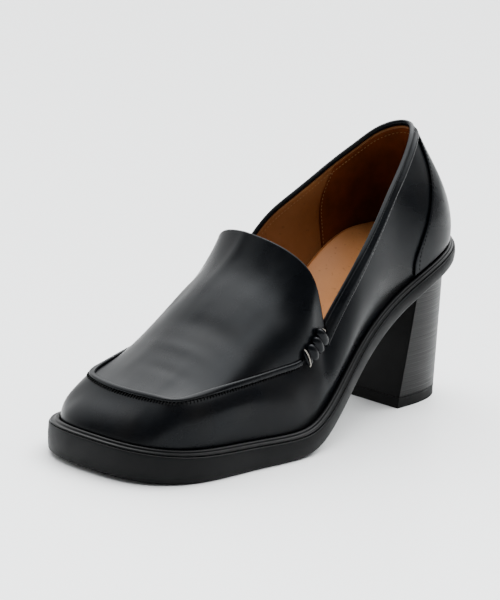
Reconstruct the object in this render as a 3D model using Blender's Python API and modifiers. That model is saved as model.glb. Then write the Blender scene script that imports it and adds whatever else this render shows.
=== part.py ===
"""Loafer pump, left shoe, with a block heel, a platform sole and a gathered apron seam.

Metres, +Z up. The toe points to -Y, the heel to +Y and the outer side of the foot to +X. The shoe
stands on the plane z = 0, and the origin is the middle of the sole's outline on that plane.

The way around the shoe is a share from 0 to 1 of the sole's edge: 0 is the middle of the back, 0.25
the outer ball, 0.5 the toe and 0.75 the inner ball. Tables hold shares of the named sizes.
"""

import math

import bpy
import numpy as np

# Sole
LENGTH = 0.245
BALL_WIDTH = 0.098
HEEL_RISE = 0.0758
PLATFORM = 0.0142
SOLE_EDGE_ROUND = 0.0018

# Welt: a flat strip and a rib beside the upper
WELT_SETBACK = 0.0008
WELT_THICKNESS = 0.0008
RIB_WIDTH = 0.0024
RIB_HEIGHT = 0.0020

# Upper: the feather is the distance from the sole's edge in to the upper, along the forefoot and at
# the back; the fullness is the length of a wall curve's handles as a share of its chord
WALL = 0.0020
FEATHER = 0.0056
FEATHER_BACK = 0.0044
COLLAR_DEPTH = 0.066
INSTEP_CROWN = 0.0362
TONGUE_RAKE = 0.011
WALL_FULLNESS_SHARE = 0.38

# Trim on the upper
BAND_DEPTH = 0.0096
BAND_THICKNESS = 0.0009
BAND_BEAD_RADIUS = 0.0013
BAND_BEAD_INSET = 0.0007
COUNTER_THICKNESS = 0.0009
COUNTER_MARGIN = 0.0012
APRON_BEAD_RADIUS = 0.0013
PUFF_WIDTH = 0.0070
PUFF_HEIGHT = 0.0036
PUFF_WAIST_SHARE = 0.74
PUFF_COUNT = 3

# Heel and inside
HEEL_INSET_TOP = 0.0056
HEEL_INSET_FLOOR = 0.0068
BREAST_TOP = 0.0775
BREAST_FLOOR = 0.0680
TOP_PIECE = 0.0055
SOCK_RISE = 0.0155

# Gap between pieces that meet, and the wider one under a piece that lies over a bend
CLEARANCE = 0.0003
BEND_CLEARANCE = 0.00045
RIDGE_CLEARANCE = 0.0007

# Where the upper's lines run, as shares of the way around
THROAT_OUTER_SHARE = 0.238
CORNER_OUTER_SHARE = 0.428
CORNER_INNER_SHARE = 0.565
THROAT_INNER_SHARE = 0.757
# and, counted from the throat, where the gathers start and end and where the seam's bead starts
GATHER_START_SHARE = 0.006
GATHER_END_SHARE = 0.030
BEAD_START_SHARE = 0.035

# Grid counts
OUTLINE_STEPS = 1440
COLLAR_STEPS = 17
SEAM_STEPS = 14
FRONT_STEPS = 12
WALL_STEPS = 7
SIDE_STEPS = COLLAR_STEPS + SEAM_STEPS
DEPTH_STEPS = 60
BREAST_STEPS = 200
HEEL_SIDE_STEPS = 10
HEEL_FRONT_STEPS = 6
COUNTER_ROWS = 8
COUNTER_HALF_COLUMNS = 9
BEAD_STEPS = 55
CORD_RESOLUTION = 2
PUFF_STEPS = 4
PUFF_SIDES = 10

# Short steps that slopes are measured over: around the shoe, up the wall and in from the seam
AROUND_STEP_SHARE = 0.002
HEIGHT_STEP_SHARE = 0.02
RIM_STEP_SHARE = 0.02
# and the longest share of the way around that the heel's breast is looked for in
BREAST_SEARCH_SHARE = 0.2
# and the exponent with which the extra height of a lid's edge fades inward
EDGE_FADE = 4
SHARP_EDGE_DEGREES = 40

# Sole outline: across is a share of BALL_WIDTH, along a share of LENGTH
OUTLINE = (
    (0.000, 0.500),
    (0.230, 0.451),
    (0.321, 0.359),
    (0.327, 0.245),
    (0.385, 0.098),
    (0.503, -0.094),
    (0.472, -0.253),
    (0.413, -0.400),
    (0.276, -0.467),
    (-0.020, -0.499),
    (-0.342, -0.482),
    (-0.476, -0.414),
    (-0.456, -0.245),
    (-0.408, -0.069),
    (-0.291, 0.083),
    (-0.303, 0.242),
    (-0.333, 0.358),
    (-0.240, 0.455),
    (0.000, 0.500),
)

# Underside of the sole: along is a share of LENGTH, rise a share of HEEL_RISE
UNDERSIDE = (
    (-0.500, 0.026),
    (-0.408, 0.004),
    (-0.333, 0.000),
    (-0.187, 0.000),
    (-0.122, 0.004),
    (-0.083, 0.024),
    (0.021, 0.215),
    (0.125, 0.462),
    (0.242, 0.698),
    (0.367, 0.884),
    (0.500, 1.000),
)

# Thickness of the sole's edge: along is a share of LENGTH, depth a share of PLATFORM
EDGE = (
    (-0.500, 1.000),
    (-0.367, 0.890),
    (-0.245, 0.790),
    (-0.041, 0.705),
    (0.122, 0.655),
    (0.286, 0.540),
    (0.500, 0.535),
)

# Top edge of the side wall: the collar, then the apron seam round the toe, then the collar again.
# around: share of the way around; across: share of BALL_WIDTH; along: share of LENGTH;
# rise: height above the sole, a share of COLLAR_DEPTH; foot_lean, top_lean: degrees that the wall
# leans outward where it leaves the sole, and inward where it ends.
TOP_LINE = (
    (0.000, 0.000, 0.382, 1.008, 8, 28),
    (0.030, 0.071, 0.369, 1.000, 8, 27),
    (0.052, 0.122, 0.343, 0.984, 8, 24),
    (0.078, 0.163, 0.312, 0.947, 8, 20),
    (0.105, 0.207, 0.270, 0.898, 9, 16),
    (0.135, 0.253, 0.219, 0.848, 11, 12),
    (0.165, 0.299, 0.166, 0.793, 13, 8),
    (0.190, 0.334, 0.115, 0.747, 14, 5),
    (0.214, 0.350, 0.061, 0.686, 14, 4),
    (0.238, 0.343, -0.006, 0.540, 10, 8),
    (0.257, 0.370, -0.041, 0.500, 6, 14),
    (0.272, 0.388, -0.082, 0.478, 4, 22),
    (0.295, 0.391, -0.135, 0.471, 3, 30),
    (0.322, 0.388, -0.196, 0.452, 3, 34),
    (0.358, 0.378, -0.282, 0.418, 3, 38),
    (0.388, 0.360, -0.347, 0.385, 3, 42),
    (0.413, 0.316, -0.388, 0.355, 3, 44),
    (0.428, 0.270, -0.400, 0.343, 3, 45),
    (0.447, 0.194, -0.405, 0.333, 3, 45),
    (0.500, -0.031, -0.411, 0.316, 3, 45),
    (0.545, -0.224, -0.406, 0.326, 3, 45),
    (0.565, -0.311, -0.394, 0.339, 3, 44),
    (0.582, -0.354, -0.371, 0.350, 3, 42),
    (0.613, -0.378, -0.314, 0.379, 3, 40),
    (0.650, -0.388, -0.245, 0.428, 3, 38),
    (0.686, -0.393, -0.167, 0.509, 3, 34),
    (0.714, -0.388, -0.104, 0.585, 4, 26),
    (0.738, -0.367, -0.045, 0.640, 6, 15),
    (0.757, -0.355, -0.008, 0.660, 10, 8),
    (0.781, -0.365, 0.045, 0.728, 14, 4),
    (0.806, -0.352, 0.100, 0.802, 14, 5),
    (0.835, -0.311, 0.151, 0.836, 13, 8),
    (0.865, -0.265, 0.201, 0.870, 11, 12),
    (0.895, -0.219, 0.256, 0.916, 9, 16),
    (0.922, -0.173, 0.300, 0.959, 8, 20),
    (0.948, -0.128, 0.337, 1.000, 8, 24),
    (0.970, -0.077, 0.367, 1.010, 8, 27),
    (1.000, 0.000, 0.382, 1.008, 8, 28),
)

# Arches of the apron and tongue, from the toe seam (back 0) to the tongue's free edge (back 1).
# crown: height over the seam, a share of INSTEP_CROWN; flank and brow: exponents of the arch, larger
# is squarer; rake: how far the middle leans to the toe, a share of TONGUE_RAKE.
ARCHES = (
    (0.00, 0.00, 2.0, 1.0, 0.00),
    (0.12, 0.08, 2.0, 1.1, 0.00),
    (0.25, 0.22, 2.1, 1.3, 0.00),
    (0.40, 0.42, 2.3, 1.7, 0.00),
    (0.55, 0.64, 2.5, 2.0, 0.14),
    (0.70, 0.83, 2.5, 2.3, 0.36),
    (0.85, 0.95, 2.3, 3.2, 0.64),
    (1.00, 1.00, 2.2, 6.0, 1.00),
)

# Depth of the collar's band, the same on both sides: around is the way from the middle of the back,
# depth a share of BAND_DEPTH.
BAND = (
    (0.000, 0.32),
    (0.060, 0.33),
    (0.100, 0.39),
    (0.150, 0.50),
    (0.190, 0.70),
    (0.238, 1.00),
    (0.250, 1.05),
)

# Top of the sock over the sole's ledge, in shares of SOCK_RISE: along is a share of LENGTH, middle the
# height of the middle, and outer and inner what the edges have more, the inner one under the arch.
SOCK = (
    (-0.500, 0.16, 0.00, 0.00),
    (-0.300, 0.16, 0.00, 0.00),
    (-0.150, 0.17, 0.01, 0.02),
    (0.000, 0.22, 0.06, 0.24),
    (0.120, 0.31, 0.11, 0.47),
    (0.240, 0.40, 0.14, 0.60),
    (0.340, 0.45, 0.12, 0.38),
    (0.410, 0.45, 0.09, 0.12),
    (0.455, 0.45, 0.08, 0.08),
    (0.500, 0.45, 0.08, 0.08),
)

# Front edge of the counter, the same on both sides: up is a share of the wall's height over the
# welt, around the share of the way around that the counter reaches.
COUNTER = (
    (0.00, 0.114),
    (0.20, 0.112),
    (0.40, 0.092),
    (0.60, 0.068),
    (0.80, 0.046),
    (1.00, 0.034),
)


def through(table, at, closed=False):
    """Smooth curve through a table's rows, read at the values `at` of its first column.

    Each span is a cubic. The slopes at the rows solve one linear system that keeps the curvature
    continuous; a closed curve has the same slope at its two ends.
    """
    rows = np.asarray(table, float)
    knots, values = rows[:, 0], rows[:, 1:]
    gap = np.diff(knots)
    secant = np.diff(values, axis=0) / gap[:, None]
    count = len(knots)
    system = np.zeros((count, count))
    right = np.zeros(values.shape)
    for i in range(1, count - 1):
        system[i, i - 1 : i + 2] = 1 / gap[i - 1], 2 / gap[i - 1] + 2 / gap[i], 1 / gap[i]
        right[i] = 3 * (secant[i - 1] / gap[i - 1] + secant[i] / gap[i])
    if closed:
        system[0, [0, 1, -2]] = 2 / gap[0] + 2 / gap[-1], 1 / gap[0], 1 / gap[-1]
        right[0] = 3 * (secant[0] / gap[0] + secant[-1] / gap[-1])
        system[-1, [0, -1]] = 1, -1
    else:
        system[0, :2] = 2, 1
        system[-1, -2:] = 1, 2
        right[0], right[-1] = 3 * secant[0], 3 * secant[-1]
    slope = np.linalg.solve(system, right)
    at = np.asarray(at, float)
    span = np.clip(np.searchsorted(knots, at, side="right") - 1, 0, count - 2)
    width = gap[span][..., None]
    share = (at[..., None] - knots[span][..., None]) / width
    start = values[span] * (1 + 2 * share) * (1 - share) ** 2
    end = values[span + 1] * share**2 * (3 - 2 * share)
    bend = slope[span] * share * (1 - share) ** 2 - slope[span + 1] * share**2 * (1 - share)
    return start + end + width * bend


def unit(vectors):
    return vectors / np.linalg.norm(vectors, axis=-1, keepdims=True)


def run_length(points):
    """Length of the way along the points, at each of them."""
    return np.concatenate([[0], np.cumsum(np.linalg.norm(np.diff(points, axis=0), axis=1))])


def measured_outline():
    """The outline's table by chord length, fine chords with their way around, and its middle."""
    rows = np.asarray(OUTLINE) * (BALL_WIDTH, LENGTH)
    chord = run_length(rows)
    table = np.column_stack([chord, rows])
    fine = np.linspace(0, chord[-1], OUTLINE_STEPS + 1)
    points = through(table, fine, closed=True)
    length = run_length(points)
    return table, fine, length / length[-1], (points.max(axis=0) + points.min(axis=0)) / 2


OUTLINE_TABLE, OUTLINE_CHORDS, OUTLINE_SHARES, OUTLINE_MIDDLE = measured_outline()


def outline(around):
    """Point (x, y) of the sole's edge."""
    chord = np.interp(np.mod(around, 1), OUTLINE_SHARES, OUTLINE_CHORDS)
    return through(OUTLINE_TABLE, chord, closed=True)


def outward(around):
    """Level unit vector (x, y, 0) that points out of the sole's edge."""
    around = np.asarray(around)
    ahead = outline(around + AROUND_STEP_SHARE / 2) - outline(around - AROUND_STEP_SHARE / 2)
    level = np.stack([-ahead[..., 1], ahead[..., 0], 0 * ahead[..., 0]], axis=-1)
    return unit(level)


def inset(around, distance):
    """Point (x, y) that lies a distance inside the sole's edge."""
    distance = np.asarray(distance)[..., None]
    return outline(around) - distance * outward(around)[..., :2]


def underside(y):
    """Height of the sole's underside at y."""
    rise = through(UNDERSIDE, np.asarray(y) / LENGTH)[..., 0]
    return HEEL_RISE * np.maximum(0, rise)


def ledge(y):
    """Height of the sole's top face at y."""
    depth = through(EDGE, np.asarray(y) / LENGTH)[..., 0]
    return underside(y) + PLATFORM * depth


def feather(around):
    """Distance from the sole's edge in to the upper: less at the back than along the forefoot."""
    backness = np.clip(np.cos(2 * math.pi * np.asarray(around)), 0, 1) ** 2
    return FEATHER + (FEATHER_BACK - FEATHER) * backness


def foot_line(around):
    """Where the upper's outside meets the sole."""
    point = inset(around, feather(around))
    return np.concatenate([point, ledge(point[..., 1])[..., None] + CLEARANCE], axis=-1)


def top_line(around):
    """Top edge of the side wall, with its two leans in radians: x, y, z, foot lean, top lean."""
    rows = through(TOP_LINE, np.mod(around, 1), closed=True)
    across, along, rise, foot_lean, top_lean = np.moveaxis(rows, -1, 0)
    x, y = across * BALL_WIDTH, along * LENGTH
    z = ledge(y) + rise * COLLAR_DEPTH
    return np.stack([x, y, z, np.radians(foot_lean), np.radians(top_lean)], axis=-1)


def side_wall(around, height):
    """Outside of the upper's wall; height runs from 0 at the sole to 1 at the top line.

    A cubic curve leaves the foot line at the foot lean and reaches the top line at the top lean.
    """
    around, height = np.broadcast_arrays(np.asarray(around, float), np.asarray(height, float))
    foot, top = foot_line(around), top_line(around)
    end, out, up = top[..., :3], outward(around), np.array([0.0, 0.0, 1.0])
    foot_lean, top_lean = top[..., 3:4], top[..., 4:5]
    reach = WALL_FULLNESS_SHARE * np.linalg.norm(end - foot, axis=-1, keepdims=True)
    low = foot + reach * (np.cos(foot_lean) * up + np.sin(foot_lean) * out)
    high = end - reach * (np.cos(top_lean) * up - np.sin(top_lean) * out)
    h = height[..., None]
    return foot * (1 - h) ** 3 + 3 * low * h * (1 - h) ** 2 + 3 * high * h**2 * (1 - h) + end * h**3


def wall_normal(around, height):
    """Outward unit normal of the side wall."""
    around, height = np.broadcast_arrays(np.asarray(around, float), np.asarray(height, float))
    lower, upper = np.maximum(height - HEIGHT_STEP_SHARE, 0), np.minimum(height + HEIGHT_STEP_SHARE, 1)
    along = side_wall(around + AROUND_STEP_SHARE, height) - side_wall(around - AROUND_STEP_SHARE, height)
    rise = side_wall(around, upper) - side_wall(around, lower)
    return unit(np.cross(rise, along))


def height_at_depth(around, depth):
    """The side wall's height share at a distance below its top edge, for one place around."""
    share = np.linspace(1, 0, DEPTH_STEPS + 1)
    return np.interp(depth, run_length(side_wall(around, share)), share)


def band_depth(around):
    """Depth of the collar's band under the top line; around is negative on the inner side."""
    return BAND_DEPTH * through(BAND, np.abs(around))[..., 0]


def apron(across, back):
    """Apron and tongue: across runs from the outer seam to the inner one, back from toe to tongue.

    A ruled surface between the two seams, bowed to the toe seam in front, carries an arch whose
    height and squareness come from the table of arches.
    """
    across, back = np.broadcast_arrays(np.asarray(across, float), np.asarray(back, float))
    outer = top_line(CORNER_OUTER_SHARE + (THROAT_OUTER_SHARE - CORNER_OUTER_SHARE) * back)[..., :3]
    inner = top_line(CORNER_INNER_SHARE + (THROAT_INNER_SHARE - CORNER_INNER_SHARE) * back)[..., :3]
    front = top_line(CORNER_OUTER_SHARE + (CORNER_INNER_SHARE - CORNER_OUTER_SHARE) * across)[..., :3]
    corner_a, corner_b = top_line(CORNER_OUTER_SHARE)[:3], top_line(CORNER_INNER_SHARE)[:3]
    s, t = across[..., None], back[..., None]
    ruled = outer * (1 - s) + inner * s
    bow = (1 - t) ** 2 * (front - corner_a * (1 - s) - corner_b * s)
    crown, flank, brow, rake = np.moveaxis(through(ARCHES, back), -1, 0)
    arch = np.maximum(0, 1 - np.abs(2 * across - 1) ** flank) ** (1 / brow)
    lean = -TONGUE_RAKE * rake * arch
    lift = INSTEP_CROWN * crown * arch
    return ruled + bow + np.stack([0 * arch, lean, lift], axis=-1)


def crosswise(steps):
    """Shares from 0 to 1 that lie closer together at both ends."""
    return (1 + np.sin(math.pi / 2 * np.linspace(-1, 1, steps + 1))) / 2


def finish(name, mesh, colour, roughness, metallic=0.0):
    """A part: a smooth-shaded object with its own material, in the shoe's collection."""
    material = bpy.data.materials.new(name)
    material.use_nodes = True
    shader = material.node_tree.nodes["Principled BSDF"]
    shader.inputs["Base Color"].default_value = (*colour, 1.0)
    shader.inputs["Roughness"].default_value = roughness
    shader.inputs["Metallic"].default_value = metallic
    mesh.materials.append(material)
    part = bpy.data.objects.new(name, mesh)
    SHOE.objects.link(part)
    return part


def surface(name, points, faces):
    """A mesh with its origin under the middle of the sole."""
    mesh = bpy.data.meshes.new(name)
    placed = np.asarray(points, float).reshape(-1, 3) - (*OUTLINE_MIDDLE, 0.0)
    mesh.from_pydata(placed.tolist(), [], faces)
    mesh.update()
    mesh.shade_smooth()
    mesh.set_sharp_from_angle(angle=math.radians(SHARP_EDGE_DEGREES))
    return mesh


def quads(index):
    """Faces of a grid of vertex numbers; a quad with a repeated corner becomes a triangle."""
    faces = []
    for low, high in zip(index[:-1], index[1:]):
        for a, b, c, d in zip(low[:-1], low[1:], high[1:], high[:-1]):
            corners = list(dict.fromkeys((int(a), int(b), int(c), int(d))))
            if len(corners) > 2:
                faces.append(corners)
    return faces


def tube_faces(ring_count, ring_size, closed):
    """Faces of a profile carried along a path, with flat ends where the path is open."""
    index = np.arange(ring_count * ring_size).reshape(ring_count, ring_size)
    index = np.column_stack([index, index[:, 0]])
    if closed:
        return quads(np.vstack([index, index[:1]]))
    first, last = index[0, :-1], index[-1, :-1]
    return quads(index) + [first[::-1].tolist(), last.tolist()]


def lidded(name, rings, floor, lid, side_steps, front_steps):
    """A solid between stacked rings, closed below and above by grids of cross rows.

    A ring runs from the middle of the back down the outer side, across the front and back up the
    inner side. The row of each lid joins the outer and inner points that lie opposite. Where the
    edge lies off the lid's own height, the difference fades out inward.
    """
    rings = np.asarray(rings)
    ring_count, size = rings.shape[:2]
    points = [rings.reshape(-1, 3)]
    stack = np.arange(ring_count * size).reshape(ring_count, size)
    # rings run clockwise seen from above, so the side faces are wound from the top down
    faces = quads(np.column_stack([stack, stack[:, 0]])[::-1])
    count = ring_count * size
    share = crosswise(front_steps)[1:-1, None]
    for level, height, flip in ((0, floor, True), (ring_count - 1, lid, False)):
        ring, number = rings[level], stack[level]
        extra = ring[:, 2] - height(ring[:, 1])
        rows = [np.full(front_steps + 1, number[0])]
        for i in range(1, side_steps):
            between = ring[i] * (1 - share) + ring[-i] * share
            fade = extra[i] * (1 - share) ** EDGE_FADE + extra[-i] * share**EDGE_FADE
            between[:, 2] = height(between[:, 1]) + fade[:, 0]
            points.append(between)
            inner = np.arange(count, count + front_steps - 1)
            count += front_steps - 1
            rows.append(np.concatenate([[number[i]], inner, [number[-i]]]))
        rows.append(number[side_steps : side_steps + front_steps + 1])
        rows = np.asarray(rows)
        faces += quads(rows[::-1] if flip else rows)
    return surface(name, np.concatenate(points), faces)


def stations():
    """Places around the shoe that the sole, the welt, the insole and the upper share.

    They start at the middle of the back, and fall on both ends of the throat and of the toe seam.
    """
    outer = np.linspace(0, THROAT_OUTER_SHARE, COLLAR_STEPS + 1)
    outer_seam = np.linspace(THROAT_OUTER_SHARE, CORNER_OUTER_SHARE, SEAM_STEPS + 1)
    front = CORNER_OUTER_SHARE + (CORNER_INNER_SHARE - CORNER_OUTER_SHARE) * crosswise(FRONT_STEPS)
    inner_seam = np.linspace(CORNER_INNER_SHARE, THROAT_INNER_SHARE, SEAM_STEPS + 1)
    inner = np.linspace(THROAT_INNER_SHARE, 1, COLLAR_STEPS + 1)
    return np.concatenate([outer, outer_seam[1:], front[1:], inner_seam[1:], inner[1:-1]])


def make_outsole():
    """Platform sole: a rounded lower edge, an upright side and a flat ledge on top."""
    around = stations()
    corner = np.radians([90, 45, 0])
    edge = SOLE_EDGE_ROUND * np.column_stack([1 - np.cos(corner), 1 - np.sin(corner)])
    rings = []
    for distance, rise in edge:
        point = inset(around, np.full(len(around), distance))
        rings.append(np.column_stack([point, underside(point[:, 1]) + rise]))
    point = outline(around)
    rings.append(np.column_stack([point, ledge(point[:, 1])]))
    mesh = lidded("outsole", rings, underside, ledge, SIDE_STEPS, FRONT_STEPS)
    return finish("outsole", mesh, (0.018, 0.018, 0.019), 0.62)


def sock_middle(y):
    """Height of the sock's top along its middle."""
    return ledge(y) + SOCK_RISE * through(SOCK, np.asarray(y) / LENGTH)[..., 0]


def beside_lining(around, z):
    """Point at the height z, a clearance in from the inside of the upper's wall."""
    height = np.linspace(0, 1 / 2, DEPTH_STEPS + 1)
    line = side_wall(around, height) - (WALL + CLEARANCE) * wall_normal(around, height)
    return np.interp(z, line[:, 2], line[:, 0]), np.interp(z, line[:, 2], line[:, 1]), z


def make_insole():
    """Padded sock on the sole, higher at the heel, with an inner edge that supports the arch."""
    around = stations()

    def lower(y):
        return ledge(y) + CLEARANCE

    point = inset(around, feather(around) + WALL + CLEARANCE)
    low = lower(point[:, 1])
    middle, outer, inner = np.moveaxis(through(SOCK, point[:, 1] / LENGTH), -1, 0)
    high = ledge(point[:, 1]) + SOCK_RISE * (middle + np.where(around < 1 / 2, outer, inner))
    rings = [np.column_stack([point, low])]
    for share in (1 / 2, 1):
        level = low + share * (high - low)
        rings.append(np.array([beside_lining(place, z) for place, z in zip(around, level)]))
    mesh = lidded("insole", rings, lower, sock_middle, SIDE_STEPS, FRONT_STEPS)
    return finish("insole", mesh, (0.55, 0.31, 0.14), 0.55)


def make_welt():
    """Storm welt: a flat strip on the ledge that rises to a rounded rib beside the upper."""
    around = stations()
    base = CLEARANCE
    flat, crest = base + WELT_THICKNESS, base + RIB_HEIGHT
    shoulder = (flat + 2 * crest) / 3
    inner = feather(around) - CLEARANCE
    lean = np.tan(top_line(around)[:, 3])
    outer = np.full(len(around), WELT_SETBACK)
    profile = (
        (outer, base),
        (outer, flat),
        (inner - RIB_WIDTH, flat),
        (inner - RIB_WIDTH * 4 / 5, shoulder),
        (inner - RIB_WIDTH / 2, crest),
        (inner - crest * lean, shoulder),
        (inner, base),
    )
    rows = []
    for distance, lift in profile:
        point = inset(around, distance)
        rows.append(np.column_stack([point, ledge(point[:, 1]) + lift]))
    rings = np.stack(rows, axis=1)
    mesh = surface("welt", rings, tube_faces(len(around), len(profile), closed=True))
    return finish("welt", mesh, (0.016, 0.016, 0.017), 0.5)


def heel_ring(distance, breast, height):
    """Section of the heel: the sole's round back, cut straight at the breast."""
    fine = np.linspace(0, BREAST_SEARCH_SHARE, BREAST_STEPS + 1)
    sides = []
    for sign in (1, -1):
        line = inset(sign * fine, np.full(len(fine), distance))
        end = sign * np.interp(-breast, -line[:, 1], fine)
        places = np.linspace(0, end, HEEL_SIDE_STEPS + 1)
        sides.append(inset(places, np.full(len(places), distance)))
    outer, inner = sides
    share = crosswise(HEEL_FRONT_STEPS)[1:-1, None]
    front = outer[-1] * (1 - share) + inner[-1] * share
    point = np.concatenate([outer, front, inner[:0:-1]])
    return np.column_stack([point, height(point[:, 1])])


def heel_section(rise):
    """Inset from the sole's edge, and place of the breast, at a share of the heel's height."""
    distance = HEEL_INSET_FLOOR + (HEEL_INSET_TOP - HEEL_INSET_FLOOR) * rise
    return distance, BREAST_FLOOR + (BREAST_TOP - BREAST_FLOOR) * rise


def make_heel():
    """Stacked heel under the sole's back, and the rubber top piece that it stands on."""

    def level(height):
        return lambda y: np.full(np.shape(y), height)

    def seat(y):
        return underside(y) - CLEARANCE

    joint = TOP_PIECE / HEEL_RISE
    low = level(TOP_PIECE + CLEARANCE)
    rings = []
    for blend in (0, 1 / 2, 1):
        ring = heel_ring(*heel_section(joint + (1 - joint) * blend), low)
        ring[:, 2] += blend * (seat(ring[:, 1]) - ring[:, 2])
        rings.append(ring)
    mesh = lidded("heel_block", rings, low, seat, HEEL_SIDE_STEPS, HEEL_FRONT_STEPS)
    finish("heel_block", mesh, (0.020, 0.018, 0.017), 0.45)

    floor, lid = level(0.0), level(TOP_PIECE)
    rings = [heel_ring(*heel_section(0), floor), heel_ring(*heel_section(joint), lid)]
    mesh = lidded("heel_top_piece", rings, floor, lid, HEEL_SIDE_STEPS, HEEL_FRONT_STEPS)
    finish("heel_top_piece", mesh, (0.012, 0.012, 0.012), 0.7)


def make_upper():
    """Side wall and apron as one open surface, thickened inward."""
    around = stations()
    height = np.linspace(0, 1, WALL_STEPS + 1)
    wall = side_wall(around[None, :], height[:, None])
    index = np.arange(wall.size // 3).reshape(wall.shape[:2])
    faces = quads(np.column_stack([index, index[:, 0]])[::-1])

    top = apron(crosswise(FRONT_STEPS)[None, :], np.linspace(0, 1, SEAM_STEPS + 1)[:, None])
    grid = wall.size // 3 + np.arange(top.size // 3).reshape(top.shape[:2])
    edge = index[-1]
    last = SIDE_STEPS + FRONT_STEPS
    grid[:, 0] = edge[COLLAR_STEPS : SIDE_STEPS + 1][::-1]
    grid[0] = edge[SIDE_STEPS : last + 1]
    grid[:, -1] = edge[last : last + SEAM_STEPS + 1]
    faces += quads(grid[::-1])
    points = np.concatenate([wall.reshape(-1, 3), top.reshape(-1, 3)])
    used = np.unique(np.concatenate([np.asarray(face) for face in faces]))
    number = np.full(len(points), -1)
    number[used] = np.arange(len(used))
    mesh = surface("upper", points[used], [number[face].tolist() for face in faces])
    upper = finish("upper", mesh, (0.020, 0.021, 0.023), 0.3)
    wall_thickness = upper.modifiers.new("leather and lining", "SOLIDIFY")
    wall_thickness.thickness = WALL
    wall_thickness.offset = -1.0
    return upper


def make_band():
    """Binding round the collar: a flat strip outside the wall, and a bead over its top edge."""
    outer = np.linspace(0, THROAT_OUTER_SHARE, COLLAR_STEPS + 1)
    inner = np.linspace(THROAT_INNER_SHARE - 1, 0, COLLAR_STEPS + 1)
    around = np.concatenate([inner, outer[1:]])
    strip = CLEARANCE + BAND_THICKNESS
    bead_up = CLEARANCE + BAND_BEAD_RADIUS
    rings = []
    for place in around:
        ring = []
        for depth, out in ((1 / 2, CLEARANCE), (1, CLEARANCE), (1, strip), (1 / 2, strip)):
            height = height_at_depth(place, depth * band_depth(place))
            ring.append(side_wall(place, height) + out * wall_normal(place, height))
        top, normal = side_wall(place, 1.0), wall_normal(place, 1.0)
        rise = unit(top - side_wall(place, 1.0 - HEIGHT_STEP_SHARE))
        ring.append(top + strip * normal)
        for angle in np.radians([-25, 30, 80, 130, 180, 225]):
            out = BAND_BEAD_RADIUS * np.cos(angle) - BAND_BEAD_INSET
            up = BAND_BEAD_RADIUS * np.sin(angle) + bead_up
            ring.append(top + out * normal + up * rise)
        ring.append(top + CLEARANCE * (normal + rise))
        rings.append(ring)
    mesh = surface("topline_band", rings, tube_faces(len(rings), len(rings[0]), closed=False))
    return finish("topline_band", mesh, (0.022, 0.024, 0.027), 0.28)


def make_counter():
    """Counter overlay: a patch of the wall's own surface between the welt's rib and the band."""
    up = np.linspace(0, 1, COUNTER_ROWS + 1)
    columns = np.linspace(-1, 1, 2 * COUNTER_HALF_COLUMNS + 1)
    reach = through(COUNTER, up)[:, 0]
    points = []
    for share, width in zip(up, reach):
        for place in columns * width:
            full = np.ptp(side_wall(place, [0.0, 1.0])[:, 2])
            low = (RIB_HEIGHT + COUNTER_MARGIN) / full
            high = height_at_depth(place, band_depth(place) + 2 * CLEARANCE)
            height = low + share * (high - low)
            points.append(side_wall(place, height) + BEND_CLEARANCE * wall_normal(place, height))
    index = np.arange(len(points)).reshape(len(up), len(columns))
    mesh = surface("heel_counter", points, quads(index[::-1]))
    counter = finish("heel_counter", mesh, (0.020, 0.021, 0.023), 0.3)
    thickness = counter.modifiers.new("counter leather", "SOLIDIFY")
    thickness.thickness = COUNTER_THICKNESS
    thickness.offset = 1.0
    return counter


def apron_normal(around):
    """Unit normal of the apron's rim at the seam, from the seam's run and a short step inward."""
    outer_back = (around - CORNER_OUTER_SHARE) / (THROAT_OUTER_SHARE - CORNER_OUTER_SHARE)
    inner_back = (around - CORNER_INNER_SHARE) / (THROAT_INNER_SHARE - CORNER_INNER_SHARE)
    across = np.clip((around - CORNER_OUTER_SHARE) / (CORNER_INNER_SHARE - CORNER_OUTER_SHARE), 0, 1)
    back = np.clip(np.maximum(outer_back, inner_back), 0, 1)
    deeper = apron(across + RIM_STEP_SHARE * (1 - 2 * across), back + RIM_STEP_SHARE * (1 - back))
    ahead = side_wall(around + AROUND_STEP_SHARE, 1.0) - side_wall(around - AROUND_STEP_SHARE, 1.0)
    return unit(np.cross(deeper - apron(across, back), ahead))


def seam_side(around):
    """Points of the apron seam, and the directions that part the wall from the apron there."""
    around = np.asarray(around, float)
    return side_wall(around, 1.0), unit(wall_normal(around, 1.0) + apron_normal(around))


def make_apron_bead():
    """Raised roll along the apron seam, from one gather round the toe to the other."""
    start, end = THROAT_OUTER_SHARE + BEAD_START_SHARE, THROAT_INNER_SHARE - BEAD_START_SHARE
    around = np.linspace(start, end, BEAD_STEPS + 1)
    point, side = seam_side(around)
    path = point + (APRON_BEAD_RADIUS + RIDGE_CLEARANCE) * side - (*OUTLINE_MIDDLE, 0.0)
    roll = bpy.data.curves.new("apron_bead", "CURVE")
    roll.dimensions = "3D"
    roll.bevel_depth = APRON_BEAD_RADIUS
    roll.bevel_resolution = CORD_RESOLUTION
    roll.use_fill_caps = True
    line = roll.splines.new("POLY")
    line.points.add(BEAD_STEPS)
    for knot, place in zip(line.points, path):
        knot.co = (*place, 1.0)
    return finish("apron_bead", roll, (0.020, 0.021, 0.023), 0.32)


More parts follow.
